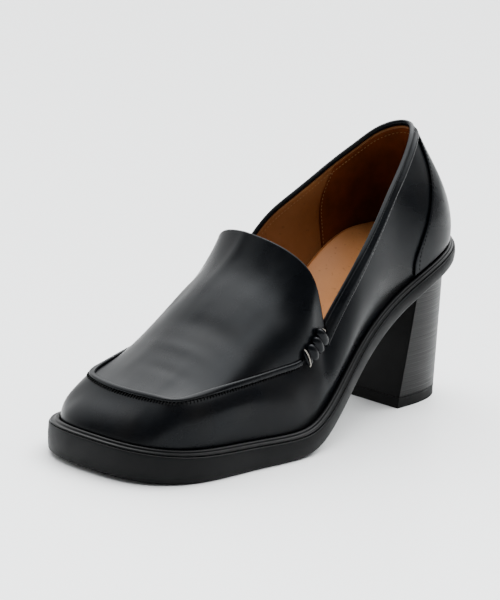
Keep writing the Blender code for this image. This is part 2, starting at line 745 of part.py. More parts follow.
def make_gather(name, start, end):
    """Row of flattened puffs where the seam is drawn up to the throat, joined at narrow waists."""
    share = np.linspace(0, 1, PUFF_STEPS * PUFF_COUNT + 1)
    swell = PUFF_WAIST_SHARE + (1 - PUFF_WAIST_SHARE) * np.abs(np.sin(math.pi * PUFF_COUNT * share))
    point, side = seam_side(start + (end - start) * share)
    across = unit(np.cross(side, np.gradient(point, axis=0)))
    middle = point + (PUFF_HEIGHT / 2 + RIDGE_CLEARANCE) * side
    angle = np.linspace(0, 2 * math.pi, PUFF_SIDES, endpoint=False)[:, None]
    rings = []
    for centre, width, height, size in zip(middle, across, side, swell):
        oval = PUFF_WIDTH / 2 * np.cos(angle) * width + PUFF_HEIGHT / 2 * np.sin(angle) * height
        rings.append(centre + size * oval)
    mesh = surface(name, rings, tube_faces(len(rings), PUFF_SIDES, closed=False))
    return finish(name, mesh, (0.015, 0.015, 0.016), 0.4)


for old in list(bpy.data.objects):
    bpy.data.objects.remove(old)
SHOE = bpy.data.collections.new("loafer_pump")
bpy.context.scene.collection.children.link(SHOE)

make_outsole()
make_welt()
make_heel()
make_insole()
make_upper()
make_counter()
make_band()
make_apron_bead()
make_gather("gather_lateral", THROAT_OUTER_SHARE + GATHER_START_SHARE, THROAT_OUTER_SHARE + GATHER_END_SHARE)
make_gather("gather_medial", THROAT_INNER_SHARE - GATHER_START_SHARE, THROAT_INNER_SHARE - GATHER_END_SHARE)
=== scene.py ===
"""Looks of a loafer pump, left shoe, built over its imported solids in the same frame.

Metres, +Z up. The toe points to -Y, the heel to +Y and the outer side of the foot to +X. The way around
the shoe is a share of the sole's edge: 0 is the middle of the back, 0.25 the outer ball, 0.5 the toe and
0.75 the inner ball.
"""

import math

import bpy
import numpy as np
from mathutils import Matrix, Vector


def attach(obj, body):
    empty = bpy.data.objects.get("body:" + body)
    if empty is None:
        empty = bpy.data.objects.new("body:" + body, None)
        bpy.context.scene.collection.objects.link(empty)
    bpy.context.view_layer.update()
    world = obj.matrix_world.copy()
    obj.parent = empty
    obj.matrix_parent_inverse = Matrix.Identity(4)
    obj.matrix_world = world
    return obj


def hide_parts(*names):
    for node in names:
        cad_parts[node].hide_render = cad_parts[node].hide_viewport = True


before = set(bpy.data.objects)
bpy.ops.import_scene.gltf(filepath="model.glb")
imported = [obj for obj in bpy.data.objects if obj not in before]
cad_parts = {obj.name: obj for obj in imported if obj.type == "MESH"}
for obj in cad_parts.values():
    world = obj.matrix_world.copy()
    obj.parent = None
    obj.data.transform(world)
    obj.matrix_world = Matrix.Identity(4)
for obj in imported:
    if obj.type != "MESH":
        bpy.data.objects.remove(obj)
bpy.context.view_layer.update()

# The platform sole is a moulded black compound, matte, cut to a square-toed outline. Its lower edge is
# rounded, its top edge is only broken, and its underside rises from the forefoot to the heel seat.

MM = 0.001
LENGTH = 245 * MM
BALL_WIDTH = 98 * MM
HEEL_RISE = 75.8 * MM
PLATFORM = 14.2 * MM
LOWER_ROUND = 1.8 * MM
UPPER_ROUND = 0.7 * MM
SIDE_BULGE = 0.25 * MM
FEATHER = 5.6 * MM
FEATHER_BACK = 4.4 * MM
SOLE_STATIONS = 720
LID_STEPS = 40
OUTLINE_POINTS = 1441

# across is a share of BALL_WIDTH, along a share of LENGTH
OUTLINE = (
    (0.000, 0.500),
    (0.230, 0.451),
    (0.321, 0.359),
    (0.327, 0.245),
    (0.385, 0.098),
    (0.503, -0.094),
    (0.472, -0.253),
    (0.413, -0.400),
    (0.276, -0.467),
    (-0.020, -0.499),
    (-0.342, -0.482),
    (-0.476, -0.414),
    (-0.456, -0.245),
    (-0.408, -0.069),
    (-0.291, 0.083),
    (-0.303, 0.242),
    (-0.333, 0.358),
    (-0.240, 0.455),
    (0.000, 0.500),
)

# along is a share of LENGTH, rise a share of HEEL_RISE
UNDERSIDE = (
    (-0.500, 0.026),
    (-0.408, 0.004),
    (-0.333, 0.000),
    (-0.187, 0.000),
    (-0.122, 0.004),
    (-0.083, 0.024),
    (0.021, 0.215),
    (0.125, 0.462),
    (0.242, 0.698),
    (0.367, 0.884),
    (0.500, 1.000),
)

# along is a share of LENGTH, depth a share of PLATFORM
EDGE = (
    (-0.500, 1.000),
    (-0.367, 0.890),
    (-0.245, 0.790),
    (-0.041, 0.705),
    (0.122, 0.655),
    (0.286, 0.540),
    (0.500, 0.535),
)


def fair(table, at, closed=False):
    """Smooth curve through a table's rows, read at the values `at` of its first column.

    Each span is a cubic whose end slopes solve one linear system, so the curvature has no jumps.
    """
    rows = np.asarray(table, float)
    knots, values = rows[:, 0], rows[:, 1:]
    gap = np.diff(knots)
    secant = np.diff(values, axis=0) / gap[:, None]
    count = len(knots)
    system = np.zeros((count, count))
    right = np.zeros(values.shape)
    inside = np.arange(1, count - 1)
    system[inside, inside - 1] = 1 / gap[:-1]
    system[inside, inside] = 2 / gap[:-1] + 2 / gap[1:]
    system[inside, inside + 1] = 1 / gap[1:]
    right[1:-1] = 3 * (secant[:-1] / gap[:-1, None] + secant[1:] / gap[1:, None])
    if closed:
        system[0, [0, 1, -2]] = 2 / gap[0] + 2 / gap[-1], 1 / gap[0], 1 / gap[-1]
        right[0] = 3 * (secant[0] / gap[0] + secant[-1] / gap[-1])
        system[-1, [0, -1]] = 1, -1
    else:
        system[0, :2] = 2, 1
        system[-1, -2:] = 1, 2
        right[0], right[-1] = 3 * secant[0], 3 * secant[-1]
    slope = np.linalg.solve(system, right)
    at = np.asarray(at, float)
    span = np.clip(np.searchsorted(knots, at, side="right") - 1, 0, count - 2)
    width = gap[span][..., None]
    share = (at[..., None] - knots[span][..., None]) / width
    start = values[span] * (1 + 2 * share) * (1 - share) ** 2
    end = values[span + 1] * share**2 * (3 - 2 * share)
    bend = slope[span] * share * (1 - share) ** 2 - slope[span + 1] * share**2 * (1 - share)
    return start + end + width * bend


def unit(vectors):
    return vectors / np.linalg.norm(vectors, axis=-1, keepdims=True)


def run_length(points):
    """Length of the way along the points, at each of them."""
    return np.concatenate([[0], np.cumsum(np.linalg.norm(np.diff(points, axis=0), axis=1))])


outline_rows = np.asarray(OUTLINE) * (BALL_WIDTH, LENGTH)
outline_table = np.column_stack([run_length(outline_rows), outline_rows])
outline_chords = np.linspace(0, outline_table[-1, 0], OUTLINE_POINTS)
outline_points = fair(outline_table, outline_chords, closed=True)
outline_shares = run_length(outline_points) / run_length(outline_points)[-1]
outline_middle = (outline_points.max(axis=0) + outline_points.min(axis=0)) / 2
floor_middle = np.array([*outline_middle, 0.0])


def sole_edge(around):
    """Point (x, y) of the sole's edge, measured before the shoe is centred on its frame."""
    chord = np.interp(np.mod(around, 1), outline_shares, outline_chords)
    return fair(outline_table, chord, closed=True)


def outward(around):
    """Level unit vector out of the sole's edge: its direction turned a quarter."""
    around = np.asarray(around)
    ahead = sole_edge(around + 0.001) - sole_edge(around - 0.001)
    return unit(np.stack([-ahead[..., 1], ahead[..., 0], 0 * ahead[..., 0]], axis=-1))


def inset(around, distance):
    """Point (x, y) at a distance inside the sole's edge."""
    return sole_edge(around) - np.asarray(distance)[..., None] * outward(around)[..., :2]


def underside(y):
    return HEEL_RISE * np.maximum(0, fair(UNDERSIDE, np.asarray(y) / LENGTH)[..., 0])


def ledge(y):
    """Height of the sole's top face: the underside and the edge's thickness there."""
    return underside(y) + PLATFORM * fair(EDGE, np.asarray(y) / LENGTH)[..., 0]


def feather(around):
    """Distance from the sole's edge in to the upper, less round the back than along the forefoot."""
    backness = np.clip(np.cos(2 * math.pi * np.asarray(around)), 0, 1) ** 2
    return FEATHER + (FEATHER_BACK - FEATHER) * backness


def weave(rows, columns, wrap_rows=False, wrap_columns=False):
    """Quads of a grid of vertex numbers, row by row, joined end to start where it wraps."""
    number = np.arange(rows * columns).reshape(rows, columns)
    if wrap_rows:
        number = np.vstack([number, number[:1]])
    if wrap_columns:
        number = np.column_stack([number, number[:, 0]])
    return grid_quads(number)


def grid_quads(number):
    corners = [number[:-1, :-1], number[:-1, 1:], number[1:, 1:], number[1:, :-1]]
    return np.stack(corners, axis=-1).reshape(-1, 4)


def to_mesh(name, points, quads, triangles=None, closed=True):
    """A mesh from whole arrays. Its faces are turned over together where their volume is negative."""
    points = np.asarray(points, float).reshape(-1, 3) - floor_middle
    quads = np.asarray(quads, np.int32).reshape(-1, 4)
    triangles = np.zeros((0, 3), np.int32) if triangles is None else np.asarray(triangles, np.int32)
    split = np.concatenate([quads[:, [0, 1, 2]], quads[:, [0, 2, 3]], triangles])
    a, b, c = (points[split[:, i]] - points.mean(axis=0) for i in range(3))
    if closed and np.einsum("ij,ij->", a, np.cross(b, c)) < 0:
        quads, triangles = quads[:, ::-1], triangles[:, ::-1]
    mesh = bpy.data.meshes.new(name)
    mesh.vertices.add(len(points))
    mesh.vertices.foreach_set("co", points.ravel())
    corners = np.concatenate([quads.ravel(), triangles.ravel()])
    mesh.loops.add(len(corners))
    mesh.loops.foreach_set("vertex_index", corners)
    starts = np.concatenate([4 * np.arange(len(quads)), 4 * len(quads) + 3 * np.arange(len(triangles))])
    mesh.polygons.add(len(starts))
    mesh.polygons.foreach_set("loop_start", starts.astype(np.int32))
    mesh.update(calc_edges=True)
    mesh.shade_smooth()
    return mesh


def fit_piece(mesh, materials, slot, *nodes):
    """The piece as an object on the shoe, with its finishes, in place of its plain solids."""
    piece = bpy.data.objects.new(mesh.name, mesh)
    bpy.context.scene.collection.objects.link(piece)
    for material in materials:
        mesh.materials.append(material)
    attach(piece, "root")
    if nodes:
        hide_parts(*nodes)
    return piece


def lidded(name, rings, bottom, top, steps=LID_STEPS, sides=None):
    """A closed mesh between stacked rings, with a lid below and one above.

    Rows of a lid join the points that lie opposite, from the back forward, with z read from `height(y)`.
    What the ring has over that height fades inward with the fourth power of the share. A ring that is cut
    straight in front has `sides` points along each side, and its front points are the last row.
    """
    rings = np.asarray(rings)
    levels, count = rings.shape[:2]
    sides = sides or count // 2
    front = count - 2 * sides
    steps = front or steps
    share = (np.arange(1, steps) / steps)[None, :, None]
    outer, inner = slice(1, sides), slice(None, -sides, -1)
    points, quads, triangles = [rings.reshape(-1, 3)], [weave(levels, count, wrap_columns=True)], []
    first = levels * count
    for level, height, flip in ((0, bottom, True), (levels - 1, top, False)):
        ring, number = rings[level], level * count + np.arange(count)
        extra = (ring[:, 2] - height(ring[:, 1]))[:, None]
        between = ring[outer][:, None] * (1 - share) + ring[inner][:, None] * share
        fade = extra[outer] * (1 - share[..., 0]) ** 4 + extra[inner] * share[..., 0] ** 4
        between[..., 2] = height(between[..., 1]) + fade
        points.append(between.reshape(-1, 3))
        inside = first + np.arange(fade.size).reshape(fade.shape)
        rows = np.column_stack([number[outer], inside, number[inner]])
        first += fade.size
        fans = [np.column_stack([np.full(steps, number[0]), rows[0, 1:], rows[0, :-1]])]
        if front:
            rows = np.vstack([rows, number[sides : sides + front + 1]])
        else:
            fans.append(np.column_stack([np.full(steps, number[sides]), rows[-1, :-1], rows[-1, 1:]]))
        lid, fans = grid_quads(rows), np.concatenate(fans)
        quads.append(lid[:, ::-1] if flip else lid)
        triangles.append(fans[:, ::-1] if flip else fans)
    return to_mesh(name, np.concatenate(points), np.concatenate(quads), np.concatenate(triangles))


class Finish:
    """A material on one shader, whose textures lie in the object's own coordinates."""

    def __init__(self, name):
        self.material = bpy.data.materials.new(name)
        self.material.use_nodes = True
        self.tree = self.material.node_tree
        self.shader = self.tree.nodes["Principled BSDF"]
        self.place = self.add("TexCoord").outputs["Object"]

    def add(self, kind, **values):
        """A node, with its inputs or its settings by their names."""
        node = self.tree.nodes.new("ShaderNode" + kind)
        for key, value in values.items():
            if key in node.inputs:
                node.inputs[key].default_value = value
            else:
                setattr(node, key, value)
        return node

    def join(self, source, target):
        self.tree.links.new(source, target)

    def hold(self, values):
        """Constants on the shader's own sockets."""
        for socket, value in values.items():
            self.shader.inputs[socket].default_value = value

    def stretched(self, scale, turn=(0.0, 0.0, 0.0)):
        """The object's coordinates, scaled and turned."""
        mapping = self.add("Mapping", Scale=scale, Rotation=turn)
        self.join(self.place, mapping.inputs["Vector"])
        return mapping.outputs["Vector"]

    def noise(self, scale, detail, roughness=0.5, place=None):
        """Cloudy values from 0 to 1."""
        node = self.add("TexNoise", Scale=scale, Detail=detail, Roughness=roughness)
        self.join(self.place if place is None else place, node.inputs["Vector"])
        return node.outputs["Fac"]

    def cells(self, scale):
        """Distances from the middles of small cells, for pores."""
        node = self.add("TexVoronoi", Scale=scale)
        self.join(self.place, node.inputs["Vector"])
        return node.outputs["Distance"]

    def ramp(self, value, stops, socket=None):
        """Colours or levels at places of a value from 0 to 1, led to a socket of the shader."""
        node = self.add("ValToRGB")
        for _ in range(len(stops) - 2):
            node.color_ramp.elements.new(0.5)
        for element, (place, colour) in zip(node.color_ramp.elements, stops):
            element.position = place
            element.color = (*colour, 1.0) if np.ndim(colour) else (colour, colour, colour, 1.0)
        self.join(value, node.inputs["Fac"])
        if socket:
            self.join(node.outputs["Color"], self.shader.inputs[socket])
        return node.outputs["Color"]

    def darken(self, colour, shadow, strength):
        """The base colour: a colour multiplied by a shadow."""
        mix = self.add("Mix", data_type="RGBA", blend_type="MULTIPLY", Factor=strength)
        self.join(colour, mix.inputs["A"])
        self.join(shadow, mix.inputs["B"])
        self.join(mix.outputs["Result"], self.shader.inputs["Base Color"])

    def bumps(self, *layers):
        """Bumps one upon another: each layer is a height, a strength and a distance in metres."""
        below = None
        for height, strength, distance in layers:
            bump = self.add("Bump", Strength=strength, Distance=distance)
            self.join(height, bump.inputs["Height"])
            if below:
                self.join(below, bump.inputs["Normal"])
            below = bump.outputs["Normal"]
        self.join(below, self.shader.inputs["Normal"])


def shaded(colour, *wear):
    """A colour with its parts multiplied, by one share or by one for each."""
    return [part * share for part, share in zip(colour, wear * len(colour))]


def matte_compound(name, colour, roughness, pores):
    """Moulded rubber: fine pores, faint mould mottling, and handling marks in the roughness."""
    finish = Finish(name)
    mottle = finish.noise(90.0, 4.0, 0.6)
    finish.ramp(mottle, ((0.3, shaded(colour, 0.8)), (0.7, colour)), "Base Color")
    finish.ramp(mottle, ((0.35, roughness - 0.06), (0.65, roughness + 0.06)), "Roughness")
    finish.bumps((finish.noise(pores, 3.0, 0.7), 0.35, 0.00012))
    finish.hold({"Specular IOR Level": 0.10})
    return finish.material


sole_compound = matte_compound("black_sole_compound", (0.0034, 0.0037, 0.0040), 0.50, 1400.0)

around = np.arange(SOLE_STATIONS) / SOLE_STATIONS
rings = []
for angle in np.radians(np.linspace(90, 0, 6)):
    place = inset(around, LOWER_ROUND * (1 - math.cos(angle)))
    rings.append(np.column_stack([place, underside(place[:, 1]) + LOWER_ROUND * (1 - math.sin(angle))]))
for share in np.linspace(0, 1, 8)[1:-1]:
    place = inset(around, -SIDE_BULGE * math.sin(math.pi * share))
    foot, head = underside(place[:, 1]) + LOWER_ROUND, ledge(place[:, 1]) - UPPER_ROUND
    rings.append(np.column_stack([place, foot + share * (head - foot)]))
for angle in np.radians(np.linspace(0, 90, 4)):
    place = inset(around, UPPER_ROUND * (1 - math.cos(angle)))
    rings.append(np.column_stack([place, ledge(place[:, 1]) - UPPER_ROUND * (1 - math.sin(angle))]))
fit_piece(lidded("outsole_moulded", rings, underside, ledge), [sole_compound], "sole_rubber", "outsole")

# The welt is a flat strip of the same compound, cemented on the ledge, whose inner edge stands up as a
# rounded rib beside the upper. A dark gap is left between the rib and the leather.

WELT_SETBACK = 0.8 * MM
WELT_THICKNESS = 0.8 * MM
WELT_SHOULDER = 0.4 * MM
RIB_WIDTH = 2.4 * MM
RIB_HEIGHT = 2.1 * MM
GAP = 0.3 * MM

THROAT_OUTER = 0.238
CORNER_OUTER = 0.428
CORNER_INNER = 0.565
THROAT_INNER = 0.757
COLLAR_DEPTH = 66 * MM
WALL_FULLNESS = 0.38

# Top edge of the side wall, round the whole shoe. around: share of the way around; across: share of
# BALL_WIDTH; along: share of LENGTH; rise: height over the sole, a share of COLLAR_DEPTH; foot_lean and
# top_lean: degrees that the wall leans outward where it leaves the sole, and inward where it ends.
TOP_LINE = (
    (0.000, 0.000, 0.382, 1.008, 8, 28),
    (0.030, 0.071, 0.369, 1.000, 8, 27),
    (0.052, 0.122, 0.343, 0.984, 8, 24),
    (0.078, 0.163, 0.312, 0.947, 8, 20),
    (0.105, 0.207, 0.270, 0.898, 9, 16),
    (0.135, 0.253, 0.219, 0.848, 11, 12),
    (0.165, 0.299, 0.166, 0.793, 13, 8),
    (0.190, 0.334, 0.115, 0.747, 14, 5),
    (0.214, 0.350, 0.061, 0.686, 14, 4),
    (0.238, 0.343, -0.006, 0.540, 10, 8),
    (0.257, 0.370, -0.041, 0.500, 6, 14),
    (0.272, 0.388, -0.082, 0.478, 4, 22),
    (0.295, 0.391, -0.135, 0.471, 3, 30),
    (0.322, 0.388, -0.196, 0.452, 3, 34),
    (0.358, 0.378, -0.282, 0.418, 3, 38),
    (0.388, 0.360, -0.347, 0.385, 3, 42),
    (0.413, 0.316, -0.388, 0.355, 3, 44),
    (0.428, 0.270, -0.400, 0.343, 3, 45),
    (0.447, 0.194, -0.405, 0.333, 3, 45),
    (0.500, -0.031, -0.411, 0.316, 3, 45),
    (0.545, -0.224, -0.406, 0.326, 3, 45),
    (0.565, -0.311, -0.394, 0.339, 3, 44),
    (0.582, -0.354, -0.371, 0.350, 3, 42),
    (0.613, -0.378, -0.314, 0.379, 3, 40),
    (0.650, -0.388, -0.245, 0.428, 3, 38),
    (0.686, -0.393, -0.167, 0.509, 3, 34),
    (0.714, -0.388, -0.104, 0.585, 4, 26),
    (0.738, -0.367, -0.045, 0.640, 6, 15),
    (0.757, -0.355, -0.008, 0.660, 10, 8),
    (0.781, -0.365, 0.045, 0.728, 14, 4),
    (0.806, -0.352, 0.100, 0.802, 14, 5),
    (0.835, -0.311, 0.151, 0.836, 13, 8),
    (0.865, -0.265, 0.201, 0.870, 11, 12),
    (0.895, -0.219, 0.256, 0.916, 9, 16),
    (0.922, -0.173, 0.300, 0.959, 8, 20),
    (0.948, -0.128, 0.337, 1.000, 8, 24),
    (0.970, -0.077, 0.367, 1.010, 8, 27),
    (1.000, 0.000, 0.382, 1.008, 8, 28),
)


def top_edge(around):
    """Top edge of the side wall (x, y, z), and its foot lean and top lean in radians."""
    rows = fair(TOP_LINE, np.mod(around, 1), closed=True)
    across, along, rise, foot_lean, top_lean = np.moveaxis(rows, -1, 0)
    x, y = across * BALL_WIDTH, along * LENGTH
    point = np.stack([x, y, ledge(y) + rise * COLLAR_DEPTH], axis=-1)
    return point, np.radians(foot_lean), np.radians(top_lean)


def carried(name, rings, wrap):
    """A closed profile carried along a path; open paths get a fan of triangles at each end."""
    rings = np.asarray(rings, float)
    count, size = rings.shape[:2]
    quads = weave(count, size, wrap_rows=wrap, wrap_columns=True)
    if wrap:
        return to_mesh(name, rings, quads)
    points = np.concatenate([rings.reshape(-1, 3), rings[[0, -1]].mean(axis=1)])
    ring = np.arange(size)
    near = np.column_stack([np.roll(ring, -1), ring, np.full(size, count * size)])
    last = (count - 1) * size + ring
    far = np.column_stack([last, np.roll(last, -1), np.full(size, count * size + 1)])
    return to_mesh(name, points, quads, np.concatenate([near, far]))


base, flat, crest = GAP, GAP + WELT_THICKNESS, GAP + RIB_HEIGHT
inner = feather(around) - GAP
lean = np.tan(top_edge(around)[1])
rib_middle = inner - RIB_WIDTH / 2 - 0.25 * crest * lean
profile = [(WELT_SETBACK, base)]
for angle in np.radians([0, 30, 60, 90]):
    out = WELT_SETBACK + WELT_SHOULDER * (1 - math.cos(angle))
    profile.append((out, flat - WELT_SHOULDER * (1 - math.sin(angle))))
for angle in np.radians(np.linspace(0, 180, 14)):
    across_rib = rib_middle - RIB_WIDTH / 2 * math.cos(angle)
    profile.append((across_rib, flat + (crest - flat) * math.sin(angle) ** 0.8))
profile.append((inner, base))
rings = []
for distance, lift in profile:
    place = inset(around, distance)
    rings.append(np.column_stack([place, ledge(place[:, 1]) + lift]))
rings = np.stack(rings, axis=1)
welt_compound = matte_compound("black_welt_compound", (0.0030, 0.0033, 0.0036), 0.38, 1800.0)
fit_piece(carried("welt_rib", rings, wrap=True), [welt_compound], "sole_rubber", "welt")

# The heel is built of thin layers glued in a stack, stained black and burnished, straight at the breast
# and following the sole's rim behind. It stands on a rubber top piece nailed under it.

HEEL_INSET_TOP = 5.6 * MM
HEEL_INSET_FLOOR = 6.8 * MM
BREAST_TOP = 77.5 * MM
BREAST_FLOOR = 68.0 * MM
TOP_PIECE = 5.5 * MM
LAYER = 2.3 * MM
LAYER_JOINT = 0.276 * MM
LAYER_WANDER = 0.6 * MM
HEEL_CORNER = 0.5 * MM
HEEL_SIDES = 120
BREAST_COLUMNS = 50
HEEL_LEVELS = 24

# way around that is searched for the breast, and the places read along it
HEEL_REACH = 0.2
HEEL_POINTS = 801

# a face belongs to the breast where its normal's y is under this
BREAST_FACING = -0.9


def heel_ring(rise, height):
    """Section of the heel at a share of its height: the rim's back, inset, cut straight at the breast."""
    distance = HEEL_INSET_FLOOR + (HEEL_INSET_TOP - HEEL_INSET_FLOOR) * rise
    breast = BREAST_FLOOR + (BREAST_TOP - BREAST_FLOOR) * rise
    fine = np.linspace(0, HEEL_REACH, HEEL_POINTS)
    halves = []
    for sign in (1, -1):
        end = sign * np.interp(-breast, -inset(sign * fine, distance)[:, 1], fine)
        halves.append(inset(np.linspace(0, end, HEEL_SIDES + 1), distance))
    outer, inner = halves
    share = np.linspace(0, 1, BREAST_COLUMNS + 1)[1:-1, None]
    breast_line = outer[-1] * (1 - share) + inner[-1] * share
    place = np.concatenate([outer, breast_line, inner[:0:-1]])
    return np.column_stack([place, height(place[:, 1])])


def stack_leather(name, dark, light):
    """Stained layers: a thin dark line at each joint, fine level fibres, and a burnished gloss."""
    finish = Finish(name)
    fibre = finish.noise(1.0, 3.0, 0.6, finish.stretched((25.0, 25.0, 2600.0)))
    streak = finish.noise(1.0, 2.0, 0.5, finish.stretched((8.0, 8.0, 620.0)))
    split = finish.add("SeparateXYZ")
    finish.join(finish.place, split.inputs["Vector"])
    wander = finish.add("Math", operation="MULTIPLY_ADD")
    wander.inputs[1].default_value = LAYER_WANDER
    finish.join(streak, wander.inputs[0])
    finish.join(split.outputs["Z"], wander.inputs[2])
    layer = finish.add("Math", operation="PINGPONG")
    layer.inputs[1].default_value = LAYER / 2
    finish.join(wander.outputs["Value"], layer.inputs[0])
    joint = finish.add("MapRange")
    joint.inputs["From Max"].default_value = LAYER_JOINT
    finish.join(layer.outputs["Value"], joint.inputs["Value"])
    finish.darken(finish.ramp(streak, ((0.3, dark), (0.7, light))), joint.outputs["Result"], 0.6)
    finish.ramp(fibre, ((0.3, 0.34), (0.7, 0.5)), "Roughness")
    finish.bumps((joint.outputs["Result"], 0.5, 0.00012), (fibre, 0.35, 0.00006))
    finish.hold({"Specular IOR Level": 0.14})
    return finish.material


def level_at(height):
    return lambda y: np.full(np.shape(y), height)


def heel_seat(y):
    return underside(y) - GAP


def soften(piece, width, degrees=40, segments=3):
    """Rounds the edges that turn by more than an angle."""
    bevel = piece.modifiers.new("softened edges", "BEVEL")
    bevel.width = width
    bevel.segments = segments
    bevel.limit_method = "ANGLE"
    bevel.angle_limit = math.radians(degrees)
    bevel.use_clamp_overlap = True


heel_stack = stack_leather("black_stacked_heel", (0.0028, 0.0028, 0.0029), (0.0070, 0.0069, 0.0068))
joint_share = TOP_PIECE / HEEL_RISE
heel_foot = level_at(TOP_PIECE + GAP)
rings = []
for blend in np.linspace(0, 1, HEEL_LEVELS + 1):
    ring = heel_ring(joint_share + (1 - joint_share) * blend, heel_foot)
    ring[:, 2] += blend * (heel_seat(ring[:, 1]) - ring[:, 2])
    rings.append(ring)

# the breast's faces take a second finish, near black and matt: painted shade for the shadow that falls on the
# breast under the arch
stack_mesh = lidded("heel_stack", rings, heel_foot, heel_seat, sides=HEEL_SIDES)
facing = np.zeros(3 * len(stack_mesh.polygons))
stack_mesh.polygons.foreach_get("normal", facing)
is_breast = (facing.reshape(-1, 3)[:, 1] < BREAST_FACING).astype(np.int32)
# painted shade: a near-black matt finish on the breast faces, where the arch casts its shadow
breast_painted_shade = matte_compound("black_breast_painted_shade", (0.0010, 0.0010, 0.0011), 0.55, 900.0)
heel = fit_piece(stack_mesh, [heel_stack, breast_painted_shade], "heel_stack", "heel_block")
stack_mesh.polygons.foreach_set("material_index", is_breast)
soften(heel, HEEL_CORNER)

rubber = matte_compound("black_top_piece_rubber", (0.0022, 0.0022, 0.0023), 0.62, 1500.0)
rings = [heel_ring(joint_share * h, level_at(TOP_PIECE * h)) for h in np.linspace(0, 1, 5)]
piece = lidded("heel_top_piece_rubber", rings, level_at(0.0), level_at(TOP_PIECE), sides=HEEL_SIDES)
soften(fit_piece(piece, [rubber], "top_piece_rubber", "heel_top_piece"), HEEL_CORNER)

# The upper is polished black calf, lasted over a square-toed last: a side wall all round, and an apron that
# runs back into a high tongue. The two are closed at the raised seam round the toe.

WALL = 2.0 * MM
LEATHER = 1.1 * MM
INSTEP_CROWN = 36.2 * MM
TONGUE_RAKE = 11 * MM
COLLAR_STEPS = 120
SEAM_STEPS = 170
FRONT_STEPS = 90
WALL_ROWS = 38
SIDE_STEPS = COLLAR_STEPS + SEAM_STEPS

# shares of the way back over which the apron's columns crowd further toward its sides
CROWD_START = 0.3
CROWD_REACH = 0.4

# back: from the toe seam to the tongue's free edge; crown: height over the seam, a share of INSTEP_CROWN;
# flank and brow: exponents of the arch, larger is squarer; rake: a share of TONGUE_RAKE.
ARCHES = (
    (0.00, 0.00, 2.0, 1.0, 0.00),
    (0.12, 0.08, 2.0, 1.1, 0.00),
    (0.25, 0.22, 2.1, 1.3, 0.00),
    (0.40, 0.42, 2.3, 1.7, 0.00),
    (0.55, 0.64, 2.5, 2.0, 0.14),
    (0.70, 0.83, 2.5, 2.3, 0.36),
    (0.85, 0.95, 2.3, 3.2, 0.64),
    (1.00, 1.00, 2.2, 6.0, 1.00),
)


def foot_line(around):
    """Where the upper's outside meets the sole."""
    place = inset(around, feather(around))
    return np.concatenate([place, ledge(place[..., 1])[..., None] + GAP], axis=-1)


def side_wall(around, height):
    """Outside of the wall, before any crease; height runs from 0 at the sole to 1 at the top line.

    A cubic curve leaves the foot line at the foot lean and meets the top line at the top lean.
    """
    around, height = np.broadcast_arrays(np.asarray(around, float), np.asarray(height, float))
    foot = foot_line(around)
    end, foot_lean, top_lean = top_edge(around)
    foot_lean, top_lean = foot_lean[..., None], top_lean[..., None]
    out, up = outward(around), np.array([0.0, 0.0, 1.0])
    reach = WALL_FULLNESS * np.linalg.norm(end - foot, axis=-1, keepdims=True)
    low = foot + reach * (np.cos(foot_lean) * up + np.sin(foot_lean) * out)
    high = end - reach * (np.cos(top_lean) * up - np.sin(top_lean) * out)
    h = height[..., None]
    return foot * (1 - h) ** 3 + 3 * low * h * (1 - h) ** 2 + 3 * high * h**2 * (1 - h) + end * h**3


def wall_normal(around, height):
    """Outward unit normal of the wall, from short steps along and up it."""
    around, height = np.broadcast_arrays(np.asarray(around, float), np.asarray(height, float))
    lower, upper = np.maximum(height - 0.02, 0), np.minimum(height + 0.02, 1)
    along = side_wall(around + 0.002, height) - side_wall(around - 0.002, height)
    return unit(np.cross(side_wall(around, upper) - side_wall(around, lower), along))


def off_wall(around, height, lift):
    """Points of the wall, lifted off it along its normal."""
    return side_wall(around, height) + np.asarray(lift)[..., None] * wall_normal(around, height)


def apron(across, back):
    """Apron and tongue: a ruled surface between the seams, bowed to the toe seam, under an arch.

    The arch's height is crown times (1 - |2 across - 1|^flank)^(1 / brow).
    """
    across, back = np.broadcast_arrays(np.asarray(across, float), np.asarray(back, float))
    outer = top_edge(CORNER_OUTER + (THROAT_OUTER - CORNER_OUTER) * back)[0]
    inner = top_edge(CORNER_INNER + (THROAT_INNER - CORNER_INNER) * back)[0]
    front = top_edge(CORNER_OUTER + (CORNER_INNER - CORNER_OUTER) * across)[0]
    corner_a, corner_b = top_edge(CORNER_OUTER)[0], top_edge(CORNER_INNER)[0]
    s, t = across[..., None], back[..., None]
    bow = (1 - t) ** 2 * (front - corner_a * (1 - s) - corner_b * s)
    crown, flank, brow, rake = np.moveaxis(fair(ARCHES, back), -1, 0)
    arch = np.maximum(0, 1 - np.abs(2 * across - 1) ** flank) ** (1 / brow)
    shift = np.stack([0 * arch, -TONGUE_RAKE * rake * arch, INSTEP_CROWN * crown * arch], axis=-1)
    return outer * (1 - s) + inner * s + bow + shift


def crosswise(steps):
    """Shares from 0 to 1 that lie closer together at both ends."""
    return (1 + np.sin(math.pi / 2 * np.linspace(-1, 1, steps + 1))) / 2


def stations():
    """Places around of the wall's columns, closer together at the two corners of the toe."""
    outer = np.linspace(0, THROAT_OUTER, COLLAR_STEPS + 1)
    outer_seam = np.linspace(THROAT_OUTER, CORNER_OUTER, SEAM_STEPS + 1)
    front = CORNER_OUTER + (CORNER_INNER - CORNER_OUTER) * crosswise(FRONT_STEPS)
    inner_seam = np.linspace(CORNER_INNER, THROAT_INNER, SEAM_STEPS + 1)
    inner = np.linspace(THROAT_INNER, 1, COLLAR_STEPS + 1)
    return np.concatenate([outer, outer_seam[1:], front[1:], inner_seam[1:], inner[1:-1]])


def grid_normals(grid):
    """Unit normals of a grid of points, from central differences along its rows and columns."""
    return unit(np.cross(np.gradient(grid, axis=1), np.gradient(grid, axis=0)))


